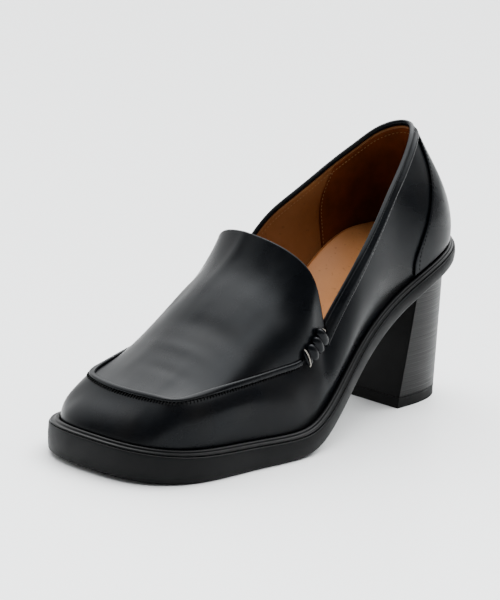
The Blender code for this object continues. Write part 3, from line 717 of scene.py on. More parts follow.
# Soft folds where the leather was lasted and where the seam draws it in: a ridge is positive. On the apron
# the first two are across and back, on the wall around and height: the fold's middle. Then its half widths
# in the same shares, how far the first moves per share of the second, and its height in millimetres.
APRON_FOLDS = (
    (0.42, 0.50, 0.30, 0.050, 0.00, -0.40),
    (0.46, 0.37, 0.26, 0.034, 0.05, 0.26),
    (0.40, 0.24, 0.20, 0.030, 0.10, -0.18),
    (0.30, 0.22, 0.05, 0.100, 0.10, 0.26),
    (0.70, 0.26, 0.06, 0.120, -0.10, 0.24),
    (0.56, 0.62, 0.06, 0.120, 0.10, 0.22),
    (0.66, 0.86, 0.04, 0.220, 0.00, 0.50),
    (0.30, 0.84, 0.05, 0.200, 0.00, 0.30),
    (0.16, 0.64, 0.05, 0.110, 0.20, -0.42),
    (0.84, 0.64, 0.05, 0.110, -0.20, -0.42),
    (0.10, 0.80, 0.04, 0.060, 0.10, -0.30),
    (0.90, 0.80, 0.04, 0.060, -0.10, -0.30),
)
WALL_FOLDS = (
    (0.430, 0.45, 0.007, 0.36, 0.000, 0.42),
    (0.412, 0.50, 0.008, 0.28, 0.000, -0.32),
    (0.449, 0.50, 0.009, 0.28, 0.000, -0.26),
    (0.565, 0.45, 0.007, 0.36, 0.000, 0.42),
    (0.583, 0.50, 0.008, 0.28, 0.000, -0.32),
    (0.547, 0.50, 0.009, 0.28, 0.000, -0.26),
    (0.345, 0.48, 0.022, 0.16, 0.050, -0.30),
    (0.305, 0.55, 0.016, 0.22, 0.030, 0.22),
    (0.275, 0.48, 0.011, 0.28, 0.020, -0.42),
    (0.254, 0.42, 0.009, 0.26, 0.020, 0.28),
    (0.222, 0.36, 0.014, 0.24, 0.020, -0.34),
    (0.182, 0.40, 0.018, 0.24, 0.020, 0.26),
    (0.720, 0.48, 0.011, 0.28, -0.020, -0.42),
    (0.745, 0.42, 0.009, 0.26, -0.020, 0.28),
    (0.790, 0.36, 0.014, 0.24, -0.020, -0.34),
    (0.660, 0.50, 0.020, 0.20, 0.030, -0.26),
)


def soft_folds(table, first, second):
    """Sum of bells round short straight lines, one for each row of the table."""
    total = 0 * first * second
    for middle, level, half_first, half_second, slant, height in table:
        off_line = (first - middle - slant * (second - level)) / half_first
        total = total + height * np.exp(-(off_line**2) - ((second - level) / half_second) ** 2)
    return total * MM


def shell_points(depth, folded):
    """Points of the wall and the apron, moved inward by a depth and outward by the folds."""
    up = np.linspace(0, 1, WALL_ROWS + 1)[:, None]
    ways = stations()[None, :]
    wall = off_wall(ways, up, folded * soft_folds(WALL_FOLDS, ways, up) - depth)
    back, even = np.linspace(0, 1, SEAM_STEPS + 1)[:, None], crosswise(FRONT_STEPS)[None, :]
    crowded = (1 - np.cos(math.pi * even)) / 2
    across = even + np.clip((back - CROWD_START) / CROWD_REACH, 0, 1) * (crowded - even)
    top = apron(across, back)
    normal = grid_normals(top)
    normal = normal * np.sign(normal[..., 2].mean())
    return wall, top + (folded * soft_folds(APRON_FOLDS, across, back) - depth)[..., None] * normal


def shell_faces():
    """Quads of the wall's rings and of the apron, which shares the wall's top edge at the seam."""
    count = 2 * SIDE_STEPS + FRONT_STEPS
    wall = np.arange((WALL_ROWS + 1) * count).reshape(WALL_ROWS + 1, count)
    top = wall.size + np.arange((SEAM_STEPS + 1) * (FRONT_STEPS + 1)).reshape(SEAM_STEPS + 1, -1)
    edge, last = wall[-1], SIDE_STEPS + FRONT_STEPS
    top[:, 0] = edge[COLLAR_STEPS : SIDE_STEPS + 1][::-1]
    top[0] = edge[SIDE_STEPS : last + 1]
    top[:, -1] = edge[last : last + SEAM_STEPS + 1]
    wall_quads = grid_quads(np.column_stack([wall, wall[:, 0]])[::-1])
    return wall_quads, grid_quads(top[::-1])


def shell(name, depth, folded):
    """Open skin of the upper at a depth under its outside; folded is 1 or 0."""
    wall, top = shell_points(depth, folded)
    wall_quads, top_quads = shell_faces()
    points = np.concatenate([wall.reshape(-1, 3), top.reshape(-1, 3)])
    quads = np.concatenate([wall_quads, top_quads])
    used, number = np.unique(quads, return_inverse=True)
    return to_mesh(name, points[used], number.reshape(-1, 4), closed=False)


def thicken(piece, thickness, side=-1.0):
    """Gives an open skin its thickness: side is -1 for inward and 1 for outward."""
    wall = piece.modifiers.new("thickness", "SOLIDIFY")
    wall.thickness = thickness
    wall.offset = side
    wall.use_even_offset = False


CALF_BLACK = (0.0016, 0.0020, 0.0027)
CALF_GLARE = (0.90, 0.95, 1.0, 1.0)


def polished_calf(name, gloss):
    """Polished calf: near black with a cool cast, fine pores, a waxed coat and soft uneven gloss."""
    finish = Finish(name)
    # the lighter warm clouds in the base colour are partly scuffs and partly painted sheen, standing in for
    # soft glare patches
    stops = ((0.32, shaded(CALF_BLACK, 0.6)), (0.52, CALF_BLACK), (0.72, shaded(CALF_BLACK, 2.6, 1.9, 1.4)))
    finish.ramp(finish.noise(22.0, 4.0, 0.55), stops, "Base Color")
    wiped = finish.noise(70.0, 3.0, 0.5, finish.stretched((1.0, 0.35, 1.0), (0.3, 0.2, 0.5)))
    finish.ramp(wiped, ((0.34, gloss - 0.05), (0.68, gloss + 0.10)), "Roughness")
    ripples, pores, skin = finish.noise(60.0, 2.0, 0.4), finish.cells(2100.0), finish.noise(1300.0, 3.0, 0.6)
    finish.bumps((ripples, 0.22, 0.0006), (pores, 0.10, 0.00006), (skin, 0.10, 0.00005))
    finish.hold({"Specular IOR Level": 0.088, "Specular Tint": CALF_GLARE})
    finish.hold({"Coat Weight": 0.02, "Coat Roughness": 0.18})
    return finish.material


calf = polished_calf("black_polished_calf", 0.28)
upper = fit_piece(shell("upper_calf", 0.0, 1), [calf], "upper_leather", "upper")
thicken(upper, LEATHER)

# The lining is tan-brown leather, cemented inside the upper and closed to it along the collar. It follows
# the last without the outside's creases, and it lines the tongue as well.

LINING_SETBACK = 0.05 * MM


def tan_leather(name, light, dark, roughness):
    """Undyed lining leather: cloudy tan, short pores, faint specks and a waxed sheen."""
    finish = Finish(name)
    cloud = finish.noise(38.0, 5.0, 0.6)
    specks = finish.ramp(finish.noise(420.0, 1.0), ((0.27, 0.72), (0.33, 1.0)))
    finish.darken(finish.ramp(cloud, ((0.30, dark), (0.70, light))), specks, 0.7)
    finish.ramp(cloud, ((0.3, roughness - 0.07), (0.7, roughness + 0.07)), "Roughness")
    finish.bumps((finish.cells(1500.0), 0.3, 0.00008))
    finish.hold({"Specular IOR Level": 0.16})
    return finish.material


lining_leather = tan_leather("brown_lining_leather", (0.190, 0.072, 0.022), (0.135, 0.048, 0.013), 0.5)
lining = fit_piece(shell("lining", LEATHER + LINING_SETBACK, 0), [lining_leather], "lining_leather")
thicken(lining, WALL - LEATHER - 2 * LINING_SETBACK)

# The sock is light tan leather over a foam pad and the insole board. It is padded under the heel, and its
# inner edge rolls up against the lining to support the arch. A dark gap is left all round it.

SOCK_RISE = 15.5 * MM
SOCK_SIDE_GAP = 0.9 * MM
SOCK_EDGE = 1.2 * MM
SOCK_LID_STEPS = 60
READ_STEPS = 60

# along: a share of LENGTH; the rest are shares of SOCK_RISE: the height of the middle over the sole's ledge,
# and what the outer and the inner edge have more
SOCK = (
    (-0.500, 0.16, 0.00, 0.00),
    (-0.300, 0.16, 0.00, 0.00),
    (-0.150, 0.17, 0.01, 0.02),
    (0.000, 0.22, 0.06, 0.24),
    (0.120, 0.31, 0.11, 0.47),
    (0.240, 0.40, 0.14, 0.60),
    (0.340, 0.45, 0.12, 0.38),
    (0.410, 0.45, 0.09, 0.12),
    (0.455, 0.45, 0.08, 0.08),
    (0.500, 0.45, 0.08, 0.08),
)


def sock_under(y):
    return ledge(y) + GAP


def sock_top(y):
    return ledge(y) + SOCK_RISE * fair(SOCK, np.asarray(y) / LENGTH)[..., 0]


def beside_lining(around, level, gap):
    """Points at given heights, a gap in from the lining: the inner face's rows are read by their height."""
    lines = off_wall(around[:, None], np.linspace(0, 0.5, READ_STEPS + 1), -WALL - gap)
    low = np.clip((lines[..., 2] <= level[:, None]).sum(axis=1) - 1, 0, READ_STEPS - 1)
    row = np.arange(len(around))
    before, after = lines[row, low], lines[row, low + 1]
    part = np.clip((level - before[:, 2]) / (after[:, 2] - before[:, 2]), 0, 1)[:, None]
    place = before + part * (after - before)
    return np.column_stack([place[:, :2], level])


sock_leather = tan_leather("tan_sock_leather", (0.46, 0.190, 0.062), (0.38, 0.150, 0.045), 0.46)
foot = foot_line(around)
middle, outer_more, inner_more = np.moveaxis(fair(SOCK, foot[:, 1] / LENGTH), -1, 0)
crown = ledge(foot[:, 1]) + SOCK_RISE * (middle + np.where(around < 0.5, outer_more, inner_more))
base_level = ledge(foot[:, 1]) + GAP
rings = []
for share in (0, 0.25, 0.5, 0.75):
    level = base_level + share * (crown - SOCK_EDGE - base_level)
    rings.append(beside_lining(around, level, SOCK_SIDE_GAP))
rings[0][:, 2] = sock_under(rings[0][:, 1])
for angle in np.radians([0, 18, 36, 54, 72, 90]):
    level = crown - SOCK_EDGE * (1 - math.sin(angle))
    rings.append(beside_lining(around, level, SOCK_SIDE_GAP + SOCK_EDGE * (1 - math.cos(angle))))
sock = lidded("sock", rings, sock_under, sock_top, steps=SOCK_LID_STEPS)
fit_piece(sock, [sock_leather], "insole_leather", "insole")

# The collar's binding is a folded strip of the same calf, sewn outside the wall, with a corded bead over
# the raw top edge. It narrows from the throat to the back.

BAND_DEPTH = 9.6 * MM
BAND_THICKNESS = 0.9 * MM
BAND_BEAD = 1.35 * MM
BEAD_INSET = 0.7 * MM
BAND_STATIONS = 360

# around: the way from the middle of the back, on both sides; depth: a share of BAND_DEPTH
BAND = (
    (0.000, 0.32),
    (0.060, 0.33),
    (0.100, 0.39),
    (0.150, 0.50),
    (0.190, 0.70),
    (0.238, 1.00),
    (0.250, 1.05),
)


def band_depth(around):
    return BAND_DEPTH * fair(BAND, np.abs(around))[..., 0]


def height_below(around, depth):
    """The wall's height share at a distance under the top line, read off the wall's own length."""
    around, depth = np.broadcast_arrays(np.asarray(around, float), np.asarray(depth, float))
    share = np.linspace(1, 0, READ_STEPS + 1)
    points = side_wall(around[..., None], share)
    step = np.linalg.norm(np.diff(points, axis=-2), axis=-1)
    run = np.concatenate([np.zeros((*step.shape[:-1], 1)), np.cumsum(step, axis=-1)], axis=-1)
    low = np.clip((run <= depth[..., None]).sum(axis=-1) - 1, 0, READ_STEPS - 1)
    before = np.take_along_axis(run, low[..., None], -1)[..., 0]
    after = np.take_along_axis(run, low[..., None] + 1, -1)[..., 0]
    return share[low] + (share[low + 1] - share[low]) * (depth - before) / (after - before)


def on_wall(around, depth, lift):
    """Points at a distance under the top line, lifted off the wall."""
    return off_wall(around, height_below(around, depth), lift)


trim_calf = polished_calf("black_trim_calf", 0.26)
ways = np.linspace(THROAT_INNER - 1, THROAT_OUTER, BAND_STATIONS + 1)
full = band_depth(ways)
strip = GAP + BAND_THICKNESS
fold = 0.35 * MM

# distance under the top line, height off the wall
sections = [
    (0.5 * full, GAP),
    (full, GAP),
    (full, strip - fold),
    (full - 0.3 * fold, strip - 0.3 * fold),
    (full - fold, strip),
    (0.80 * full, strip + 0.16 * MM),
    (0.62 * full, strip + 0.26 * MM),
    (0.45 * full, strip + 0.24 * MM),
    (0.30 * full, strip + 0.02 * MM),
    (0.16 * full, strip - 0.22 * MM),
]
rings = [on_wall(ways, depth, lift) for depth, lift in sections]
top, normal = side_wall(ways, 1.0), wall_normal(ways, 1.0)
rise = unit(top - side_wall(ways, 0.98))
rings.append(top + (strip - 0.30 * MM) * normal + 0.1 * MM * rise)
for angle in np.radians(np.linspace(-35, 228, 13)):
    out = BAND_BEAD * math.cos(angle) - BEAD_INSET
    rings.append(top + out * normal + (GAP + BAND_BEAD * (1 + math.sin(angle))) * rise)
rings.append(top + GAP * (normal + rise))
binding = carried("collar_binding", np.stack(rings, axis=1), wrap=False)
fit_piece(binding, [trim_calf], "upper_leather", "topline_band")

BINDING_MARGIN = 1.5 * MM
LINING_SEAM = 3.6 * MM
THROAT_MARGIN = 2.0 * MM
POCKET_THICKNESS = 0.5 * MM
POCKET_SETBACK = 0.03 * MM
POCKET_REACH = 0.112
THREAD_LIFT = 0.05 * MM
STITCH_SIDES = 6
STITCH_RINGS = 6
LINE_POINTS = 1601

# pitch, length and width of the stitches
BINDING_STITCH = (2.3 * MM, 1.7 * MM, 0.42 * MM)
LINING_STITCH = (2.1 * MM, 1.25 * MM, 0.40 * MM)


def stitches(name, centre, along, off, length, width, material):
    """Small stitches in one mesh: each is a spindle, its radius the square root of a cosine, laid along."""
    turn = np.linspace(0, 2 * math.pi, STITCH_SIDES, endpoint=False)
    reach = np.linspace(-1, 1, STITCH_RINGS)
    girth = np.sqrt(np.cos(reach * math.pi / 2 * 0.97))
    side = unit(np.cross(off, along))
    spine = centre[:, None, None] + 0.5 * length * reach[None, :, None, None] * along[:, None, None]
    ring = np.cos(turn)[:, None] * side[:, None, None] + np.sin(turn)[:, None] * off[:, None, None]
    points = spine + 0.5 * width * girth[None, :, None, None] * ring
    count, rows, columns = points.shape[:3]
    first = (rows * columns * np.arange(count))[:, None, None]
    quads = (weave(rows, columns, wrap_columns=True) + first).reshape(-1, 4)
    caps = np.array([[0, corner + 1, corner] for corner in range(1, columns - 1)])
    caps = np.concatenate([caps, (rows - 1) * columns + caps[:, ::-1]])
    mesh = to_mesh(name, points, quads, (caps + first).reshape(-1, 3))
    fit_piece(mesh, [material], "thread")


def thread_finish(name, colour):
    """Waxed thread: twisted plies as a fine slanting ridge, with a low sheen."""
    finish = Finish(name)
    ply = finish.noise(2600.0, 2.0)
    finish.ramp(ply, ((0.35, shaded(colour, 0.75)), (0.65, colour)), "Base Color")
    finish.bumps((ply, 0.5, 0.00005))
    finish.hold({"Roughness": 0.55, "Specular IOR Level": 0.08})
    return finish.material


def stitch_row(name, line, normals, sizes, material, margin=0.0):
    """Stitches at an even pitch along a fine line of points, laid on the face that has the normals."""
    pitch, length, width = sizes
    run = run_length(line)
    at = np.arange(margin + pitch / 2, run[-1] - margin, pitch)
    ahead = at + pitch / 4
    centre, off = (np.stack([np.interp(at, run, row) for row in rows.T], axis=-1) for rows in (line, normals))
    along = np.stack([np.interp(ahead, run, row) for row in line.T], axis=-1) - centre
    stitches(name, centre, unit(along), unit(off), length, width, material)


black_thread = thread_finish("black_thread", (0.0025, 0.0025, 0.0028))
tan_thread = thread_finish("tan_thread", (0.27, 0.15, 0.065))
fine_ways = np.linspace(THROAT_INNER - 1, THROAT_OUTER, LINE_POINTS)
facing = wall_normal(fine_ways, 0.9)
line = on_wall(fine_ways, band_depth(fine_ways) - BINDING_MARGIN, strip + 2 * THREAD_LIFT)
stitch_row("binding_stitches", line, facing, BINDING_STITCH, black_thread, THROAT_MARGIN)

# inside, the same seam shows as a row of tan thread on the lining, and over the heel pocket
over_pocket = np.where(np.abs(fine_ways) < POCKET_REACH, POCKET_THICKNESS + POCKET_SETBACK + THREAD_LIFT, 0)
line = on_wall(fine_ways, LINING_SEAM, LINING_SETBACK - WALL - over_pocket)
stitch_row("lining_stitches", line, -facing, LINING_STITCH, tan_thread, THROAT_MARGIN)

# The counter is a calf overlay round the heel, skived and folded at its front edges and sewn down. It is
# cut from the wall's own surface, between the welt's rib and the binding.

COUNTER_THICKNESS = 0.9 * MM
COUNTER_MARGIN = 1.2 * MM
COUNTER_SKIVE = 0.2 * MM
COUNTER_LIFT = 0.45 * MM
COUNTER_SWELL = 0.25 * MM
COUNTER_SINK = 0.10 * MM
COUNTER_THREAD = 1.38 * MM
COUNTER_ROUND = 0.25 * MM
COUNTER_ROWS = 60
COUNTER_COLUMNS = 160
COUNTER_STITCH = (2.2 * MM, 1.6 * MM, 0.40 * MM)
SIDE_LINE_POINTS = 401

# shares of the way from the middle to a front edge: the skived edge's width and the seam's place
COUNTER_EDGE = 0.03
COUNTER_SEAM = 0.955

# up: share of the wall over the welt; around: share of the way around that the counter reaches
COUNTER = (
    (0.00, 0.114),
    (0.20, 0.112),
    (0.40, 0.092),
    (0.60, 0.068),
    (0.80, 0.046),
    (1.00, 0.034),
)


def counter_place(up, across):
    """Way around and height of the counter's points: across runs from -1 to 1 between its edges."""
    around = across * fair(COUNTER, up)[..., 0]
    full = (side_wall(around, 1.0) - side_wall(around, 0.0))[..., 2]
    low = (RIB_HEIGHT + COUNTER_MARGIN) / full
    high = height_below(around, band_depth(around) + 2 * GAP)
    return around, low + up * (high - low)


def sheet_grid(rows, columns):
    """Shares up a sheet, from 0 to 1, and across it, from -1 to 1."""
    return np.meshgrid(np.linspace(0, 1, rows + 1), np.linspace(-1, 1, columns + 1), indexing="ij")


up, across = sheet_grid(COUNTER_ROWS, COUNTER_COLUMNS)
place, height = counter_place(up, across)
edge = np.clip((1 - np.abs(across)) / COUNTER_EDGE, 0, 1)
swell = COUNTER_SWELL * np.sin(0.5 * math.pi * edge) - COUNTER_SINK * edge
skin = off_wall(place, height, COUNTER_LIFT + swell)
counter_mesh = to_mesh("heel_counter_overlay", skin, weave(*up.shape)[:, ::-1], closed=False)
counter = fit_piece(counter_mesh, [calf], "upper_leather", "heel_counter")
thicken(counter, COUNTER_THICKNESS - COUNTER_SKIVE, side=1.0)
soften(counter, COUNTER_ROUND, degrees=50, segments=2)
for name, end in (("counter_stitches_outer", 1), ("counter_stitches_inner", -1)):
    place, height = counter_place(np.linspace(0.02, 0.98, SIDE_LINE_POINTS), end * COUNTER_SEAM)
    line = off_wall(place, height, COUNTER_THREAD)
    stitch_row(name, line, wall_normal(place, height), COUNTER_STITCH, black_thread)

# Inside the heel a pocket of dark red-brown suede lies over the lining, to grip the foot. Its front edges
# are sewn down in a curve from the collar to the sock.

POCKET_ROWS = 70
POCKET_COLUMNS = 200
POCKET_LOW = 0.045
POCKET_HIGH = 0.985
POCKET_MARGIN = 0.0022
POCKET_STITCH = (2.0 * MM, 1.2 * MM, 0.40 * MM)

# up: share of the wall's height; around: share of the way around that the pocket reaches
POCKET = (
    (0.00, 0.140),
    (0.28, 0.133),
    (0.50, 0.128),
    (0.80, 0.120),
    (1.00, 0.108),
)


def suede(name, colour, nap):
    """Nubuck: a dense short nap, brushed into cloudy light and dark, with no gloss but a soft sheen."""
    finish = Finish(name)
    stops = ((0.3, shaded(colour, 0.7)), (0.7, shaded(colour, 1.25)))
    finish.ramp(finish.noise(60.0, 5.0, 0.65), stops, "Base Color")
    finish.bumps((finish.noise(nap, 3.0, 0.8), 0.6, 0.0001))
    finish.hold({"Roughness": 0.95, "Specular IOR Level": 0.05})
    finish.hold({"Sheen Weight": 0.05, "Sheen Roughness": 0.5, "Sheen Tint": (0.5, 0.2, 0.1, 1)})
    return finish.material


def pocket_height(up):
    return POCKET_LOW + up * (POCKET_HIGH - POCKET_LOW)


pocket_suede = suede("red_brown_suede", (0.086, 0.0200, 0.0045), 1500.0)
up, across = sheet_grid(POCKET_ROWS, POCKET_COLUMNS)
place, height = across * fair(POCKET, up)[..., 0], pocket_height(up)
skin = off_wall(place, height, -WALL - POCKET_SETBACK)
pocket_mesh = to_mesh("heel_pocket", skin, weave(*up.shape)[:, ::-1], closed=False)
pocket = fit_piece(pocket_mesh, [pocket_suede], "lining_leather")
thicken(pocket, POCKET_THICKNESS)
for name, end in (("pocket_stitches_outer", 1), ("pocket_stitches_inner", -1)):
    up = np.linspace(0.10, 0.95, SIDE_LINE_POINTS)
    place, height = end * (fair(POCKET, up)[..., 0] - POCKET_MARGIN), pocket_height(up)
    line = off_wall(place, height, -WALL - POCKET_THICKNESS - THREAD_LIFT)
    stitch_row(name, line, -wall_normal(place, height), POCKET_STITCH, tan_thread)

# The apron seam is raised: the apron's edge is turned up over a cord, and whip stitches of black thread
# pull the side wall up to it. The roll stands on the apron, beside the line of the seam.

ROLL_WIDTH = 3.0 * MM
ROLL_HEIGHT = 1.9 * MM
ROLL_INSET = 1.75 * MM
ROLL_STATIONS = 520
ROLL_SINK = 0.25 * MM
ROLL_TAPER = 2.2 * MM
BEAD_START = 0.035
WHIP_PITCH = 1.75 * MM
WHIP_LENGTH = 1.9 * MM
WHIP_WIDTH = 0.75 * MM
WHIP_DROP = 0.25 * MM
WHIP_LIFT = 0.30 * MM
WHIP_LEAN = 0.35
WHIP_START = 0.002
SEAM_POINTS = 2001


def seam_frame(around):
    """Seam points with the unit directions along the seam, inward over the apron, and off the apron."""
    around = np.asarray(around, float)
    point = side_wall(around, 1.0)
    along = unit(side_wall(around + 0.001, 1.0) - side_wall(around - 0.001, 1.0))
    outer_back = (around - CORNER_OUTER) / (THROAT_OUTER - CORNER_OUTER)
    inner_back = (around - CORNER_INNER) / (THROAT_INNER - CORNER_INNER)
    across = np.clip((around - CORNER_OUTER) / (CORNER_INNER - CORNER_OUTER), 0, 1)
    back = np.clip(np.maximum(outer_back, inner_back), 0, 1)
    deeper = apron(across + 0.02 * (1 - 2 * across), back + 0.02 * (1 - back))
    off = unit(np.cross(deeper - point, along))
    return point, along, unit(np.cross(along, off)), off


def seam_stations(start, end, count):
    """Places along the seam, evenly spaced by length."""
    fine = np.linspace(start, end, SEAM_POINTS)
    run = run_length(side_wall(fine, 1.0))
    return np.interp(np.linspace(0, run[-1], count), run, fine), run[-1]


def fuller(wave):
    """A sine or a cosine made fuller, which draws a circle out toward a rounded square."""
    return np.sign(wave) * np.abs(wave) ** 0.8


roll_ways, roll_run = seam_stations(THROAT_OUTER + BEAD_START, THROAT_INNER - BEAD_START, ROLL_STATIONS)
point, along, inward, off = seam_frame(roll_ways)
share = np.linspace(0, 1, ROLL_STATIONS)
taper = np.sqrt(np.clip(np.minimum(share, 1 - share) * roll_run / ROLL_TAPER, 0.02, 1))
centre = point + ROLL_INSET * inward + (ROLL_HEIGHT / 2 - ROLL_SINK) * off
rings = []
for angle in np.radians(np.arange(0, 360, 20)):
    wide, tall = ROLL_WIDTH / 2 * fuller(math.cos(angle)), ROLL_HEIGHT / 2 * fuller(math.sin(angle))
    rings.append(centre + taper[:, None] * (wide * inward + tall * off))
roll = carried("apron_roll", np.stack(rings, axis=1), wrap=False)
fit_piece(roll, [trim_calf], "upper_leather", "apron_bead")

count = int(roll_run / WHIP_PITCH)
whip_ways, _ = seam_stations(roll_ways[0] + WHIP_START, roll_ways[-1] - WHIP_START, count)
point, along, inward, off = seam_frame(whip_ways)
normal = wall_normal(whip_ways, 1.0)
down = unit(side_wall(whip_ways, 0.96) - point)
reach = unit(down + WHIP_LEAN * along)
centre = point + WHIP_DROP * down + WHIP_LIFT * normal
stitches("whip_stitches", centre, reach, normal, WHIP_LENGTH, WHIP_WIDTH, black_thread)

# At the throat the seam is drawn up in three glossy puffs on each side, bound by the lacing turns between
# them, and closed by a small flat tab. A pale thread end lies across the tab and another shows at the top.

PUFF_WIDTH = 10.2 * MM
PUFF_HEIGHT = 5.3 * MM
PUFF_SHIFT = 2.0 * MM
PUFF_LIFT = 0.34 * PUFF_HEIGHT
PUFF_WAIST_WIDTH = 0.52
PUFF_WAIST_HEIGHT = 0.34
PUFF_STATIONS = 34
PUFF_SIDES = 32
TAB_START = 0.0295
TAB_END = 0.0345

# the tab's size at its ends and in its middle, against a puff's
TAB_WIDE = (0.50, 0.84)
TAB_TALL = (0.40, 0.46)

# start, end: ways around from the throat; size: of the puff against the piece's width and height
PUFFS = (
    (0.0050, 0.0158, 1.10),
    (0.0158, 0.0228, 0.98),
    (0.0228, 0.0295, 0.92),
)

# way: around from the throat; lean, width and height of the thread's turn and its radius, in millimetres
THREAD_ENDS = (
    ("tab", 0.0325, 0.6, 8.8, 3.2, 0.28),
    ("throat", 0.0035, 0.1, 2.0, 1.8, 0.20),
)

puff_calf = polished_calf("black_gathered_calf", 0.15)
pale_thread = thread_finish("pale_thread", (0.36, 0.33, 0.29))


def bisector(around):
    """Middle of the gathers, with unit directions: along the seam, off the two faces, across the seam."""
    point, along, inward, off = seam_frame(around)
    side = unit(wall_normal(around, 1.0) + off)
    return point + PUFF_LIFT * side + PUFF_SHIFT * inward, along, side, unit(np.cross(side, along))


def gather(name, throat, turn, node):
    """Puffs along the seam: an oval carried along it, its size the root of a sine over each puff."""
    ways, wide, tall = [], [], []
    share = np.linspace(0, 1, PUFF_STATIONS + 1)
    for start, end, size in PUFFS:
        swell = np.abs(np.sin(math.pi * share)) ** 0.5
        ways.append(start + (end - start) * share)
        wide.append(size * (PUFF_WAIST_WIDTH + (1 - PUFF_WAIST_WIDTH) * swell))
        tall.append(size * (PUFF_WAIST_HEIGHT + (1 - PUFF_WAIST_HEIGHT) * swell))
    flat = np.clip(np.sin(math.pi * np.clip(share * 1.03, 0, 1)), 0, 1) ** 0.3
    ways.append(TAB_START + (TAB_END - TAB_START) * share)
    wide.append(np.interp(flat, (0, 1), TAB_WIDE))
    tall.append(np.interp(flat, (0, 1), TAB_TALL))
    ways, wide, tall = (np.concatenate(rows) for rows in (ways, wide, tall))
    keep = np.concatenate([[True], np.diff(ways) > 0])
    ways, wide, tall = throat + turn * ways[keep], wide[keep], tall[keep]
    centre, _, side, across = bisector(ways)
    angle = np.linspace(0, 2 * math.pi, PUFF_SIDES, endpoint=False)[None, :, None]
    oval = PUFF_WIDTH / 2 * fuller(np.cos(angle)) * (wide[:, None] * across)[:, None]
    oval = oval + PUFF_HEIGHT / 2 * fuller(np.sin(angle)) * (tall[:, None] * side)[:, None]
    fit_piece(carried(name, centre[:, None] + oval, wrap=False), [puff_calf], "upper_leather", node)


def bound_thread(name, way, lean, width, height, radius):
    """A turn of thread over the gathered seam: a fine tube round the upper half of an oval."""
    centre, along, side, across = (part[0] for part in bisector(np.array([way])))
    angle = np.radians(np.linspace(4, 176, 41))[:, None]
    spine = centre + lean * np.cos(angle) * along
    spine = spine + width / 2 * np.cos(angle) * across + height / 2 * np.sin(angle) * side
    ahead = unit(np.gradient(spine, axis=0))
    up = unit(np.cross(ahead, along))
    turn = np.linspace(0, 2 * math.pi, 10, endpoint=False)[None, :, None]
    ring = np.cos(turn) * along + np.sin(turn) * up[:, None]
    fit_piece(carried(name, spine[:, None] + radius * ring, wrap=False), [pale_thread], "thread")


for name, throat, turn, node in (
    ("outer", THROAT_OUTER, 1, "gather_lateral"),
    ("inner", THROAT_INNER, -1, "gather_medial"),
):
    gather("gathered_puffs_" + name, throat, turn, node)
    for kind, way, *sizes in THREAD_ENDS:
        bound_thread(f"pale_thread_{kind}_{name}", throat + turn * way, *(size * MM for size in sizes))

# The floor is a wide sheet of pale studio paper, faintly glossy, that runs on as the backdrop. It is stage
# and no part of the shoe.

FLOOR_REACH = 60.0
floor = bpy.data.meshes.new("studio_floor")
corners = [(FLOOR_REACH * x, FLOOR_REACH * y, 0) for x, y in ((-1, -1), (1, -1), (1, 1), (-1, 1))]
floor.from_pydata(corners, [], [(0, 1, 2, 3)])
pale = Finish("pale_floor")
pale.hold({"Base Color": (0.92, 0.93, 0.93, 1), "Roughness": 0.30, "Specular IOR Level": 0.25})
floor.materials.append(pale.material)
ground = bpy.data.objects.new("studio_floor", floor)
bpy.context.scene.collection.objects.link(ground)

# The studio's light comes from a broad ceiling, from the left and from the backdrop behind the shoe, with
# one small lamp at the back right. The camera's side is dark.

AMBIENT = 0.30
EDGE_POWER = 0.5
EDGE_SIZE = 0.3
EDGE_PLACE = Vector((0.5, 1.3, 0.6))
EDGE_TARGET = Vector((0, 0, 0.09))

# direction of each patch of light; start, end: cosines from its middle between which it grows; strength
PATCHES = (
    ((-0.10, 0.42, 0.90), 0.62, 0.97, 9.8),
    ((-0.66, 0.72, 0.22), 0.10, 0.90, 0.35),
    ((-0.92, -0.05, 0.38), 0.70, 0.95, 2.6),
)

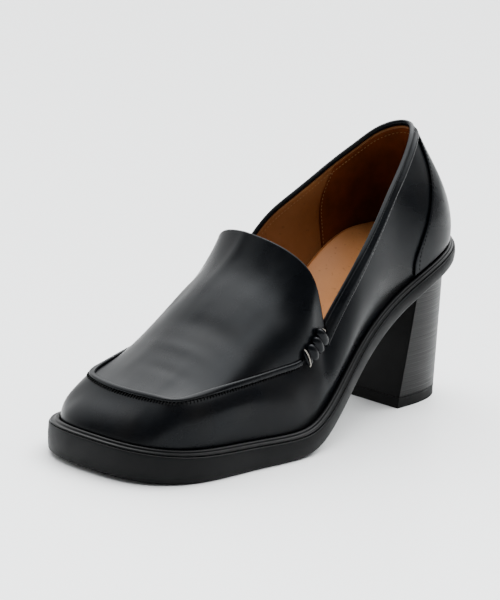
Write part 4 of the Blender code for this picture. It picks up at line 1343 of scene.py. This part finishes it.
world = bpy.data.worlds.new("soft_studio")
world.use_nodes = True
bpy.context.scene.world = world
studio = world.node_tree
sky = studio.nodes["Background"]
sky.inputs["Color"].default_value = (0.985, 0.995, 1.0, 1)
direction = studio.nodes.new("ShaderNodeTexCoord")
ambient = studio.nodes.new("ShaderNodeValue")
ambient.outputs["Value"].default_value = AMBIENT
lit = [ambient.outputs["Value"]]
for towards, start, end, strength in PATCHES:
    facing = studio.nodes.new("ShaderNodeVectorMath")
    facing.operation = "DOT_PRODUCT"
    facing.inputs[1].default_value = towards
    studio.links.new(direction.outputs["Generated"], facing.inputs[0])
    patch = studio.nodes.new("ShaderNodeMapRange")
    patch.interpolation_type = "SMOOTHSTEP"
    for socket, value in (("From Min", start), ("From Max", end), ("To Min", 0.0), ("To Max", strength)):
        patch.inputs[socket].default_value = value
    studio.links.new(facing.outputs["Value"], patch.inputs["Value"])
    total = studio.nodes.new("ShaderNodeMath")
    studio.links.new(lit[-1], total.inputs[0])
    studio.links.new(patch.outputs["Result"], total.inputs[1])
    lit.append(total.outputs["Value"])
studio.links.new(lit[-1], sky.inputs["Strength"])
lamp = bpy.data.lights.new("edge_light", "AREA")
lamp.energy = EDGE_POWER
lamp.size = EDGE_SIZE
light = bpy.data.objects.new("edge_light", lamp)
bpy.context.scene.collection.objects.link(light)
light.location = EDGE_PLACE
light.rotation_euler = (EDGE_TARGET - EDGE_PLACE).to_track_quat("-Z", "Y").to_euler()

# The camera keeps the photograph's angle and roll. Its lens is longer, so that the one shoe fills the
# frame.

ROLL = math.radians(2.42)
PHOTO_CAMERA = Vector((706.38 * MM, -766.5 * MM, 335.11 * MM)) - Vector(floor_middle)
AIM = Vector((-0.010, -0.009, 0.063))
FOCAL_PIXELS = 2180
IMAGE_LONG_SIDE = 600
SENSOR = 36.0
lens = bpy.data.cameras.new("studio_camera")
lens.sensor_width = SENSOR
lens.lens = FOCAL_PIXELS / IMAGE_LONG_SIDE * SENSOR
lens.clip_start = 0.05
lens.clip_end = 200
camera = bpy.data.objects.new("studio_camera", lens)
bpy.context.scene.collection.objects.link(camera)
camera.location = PHOTO_CAMERA
turn = (AIM - PHOTO_CAMERA).to_track_quat("-Z", "Y").to_matrix()
camera.rotation_euler = (turn @ Matrix.Rotation(ROLL, 3, "Z")).to_euler()
bpy.context.scene.camera = camera
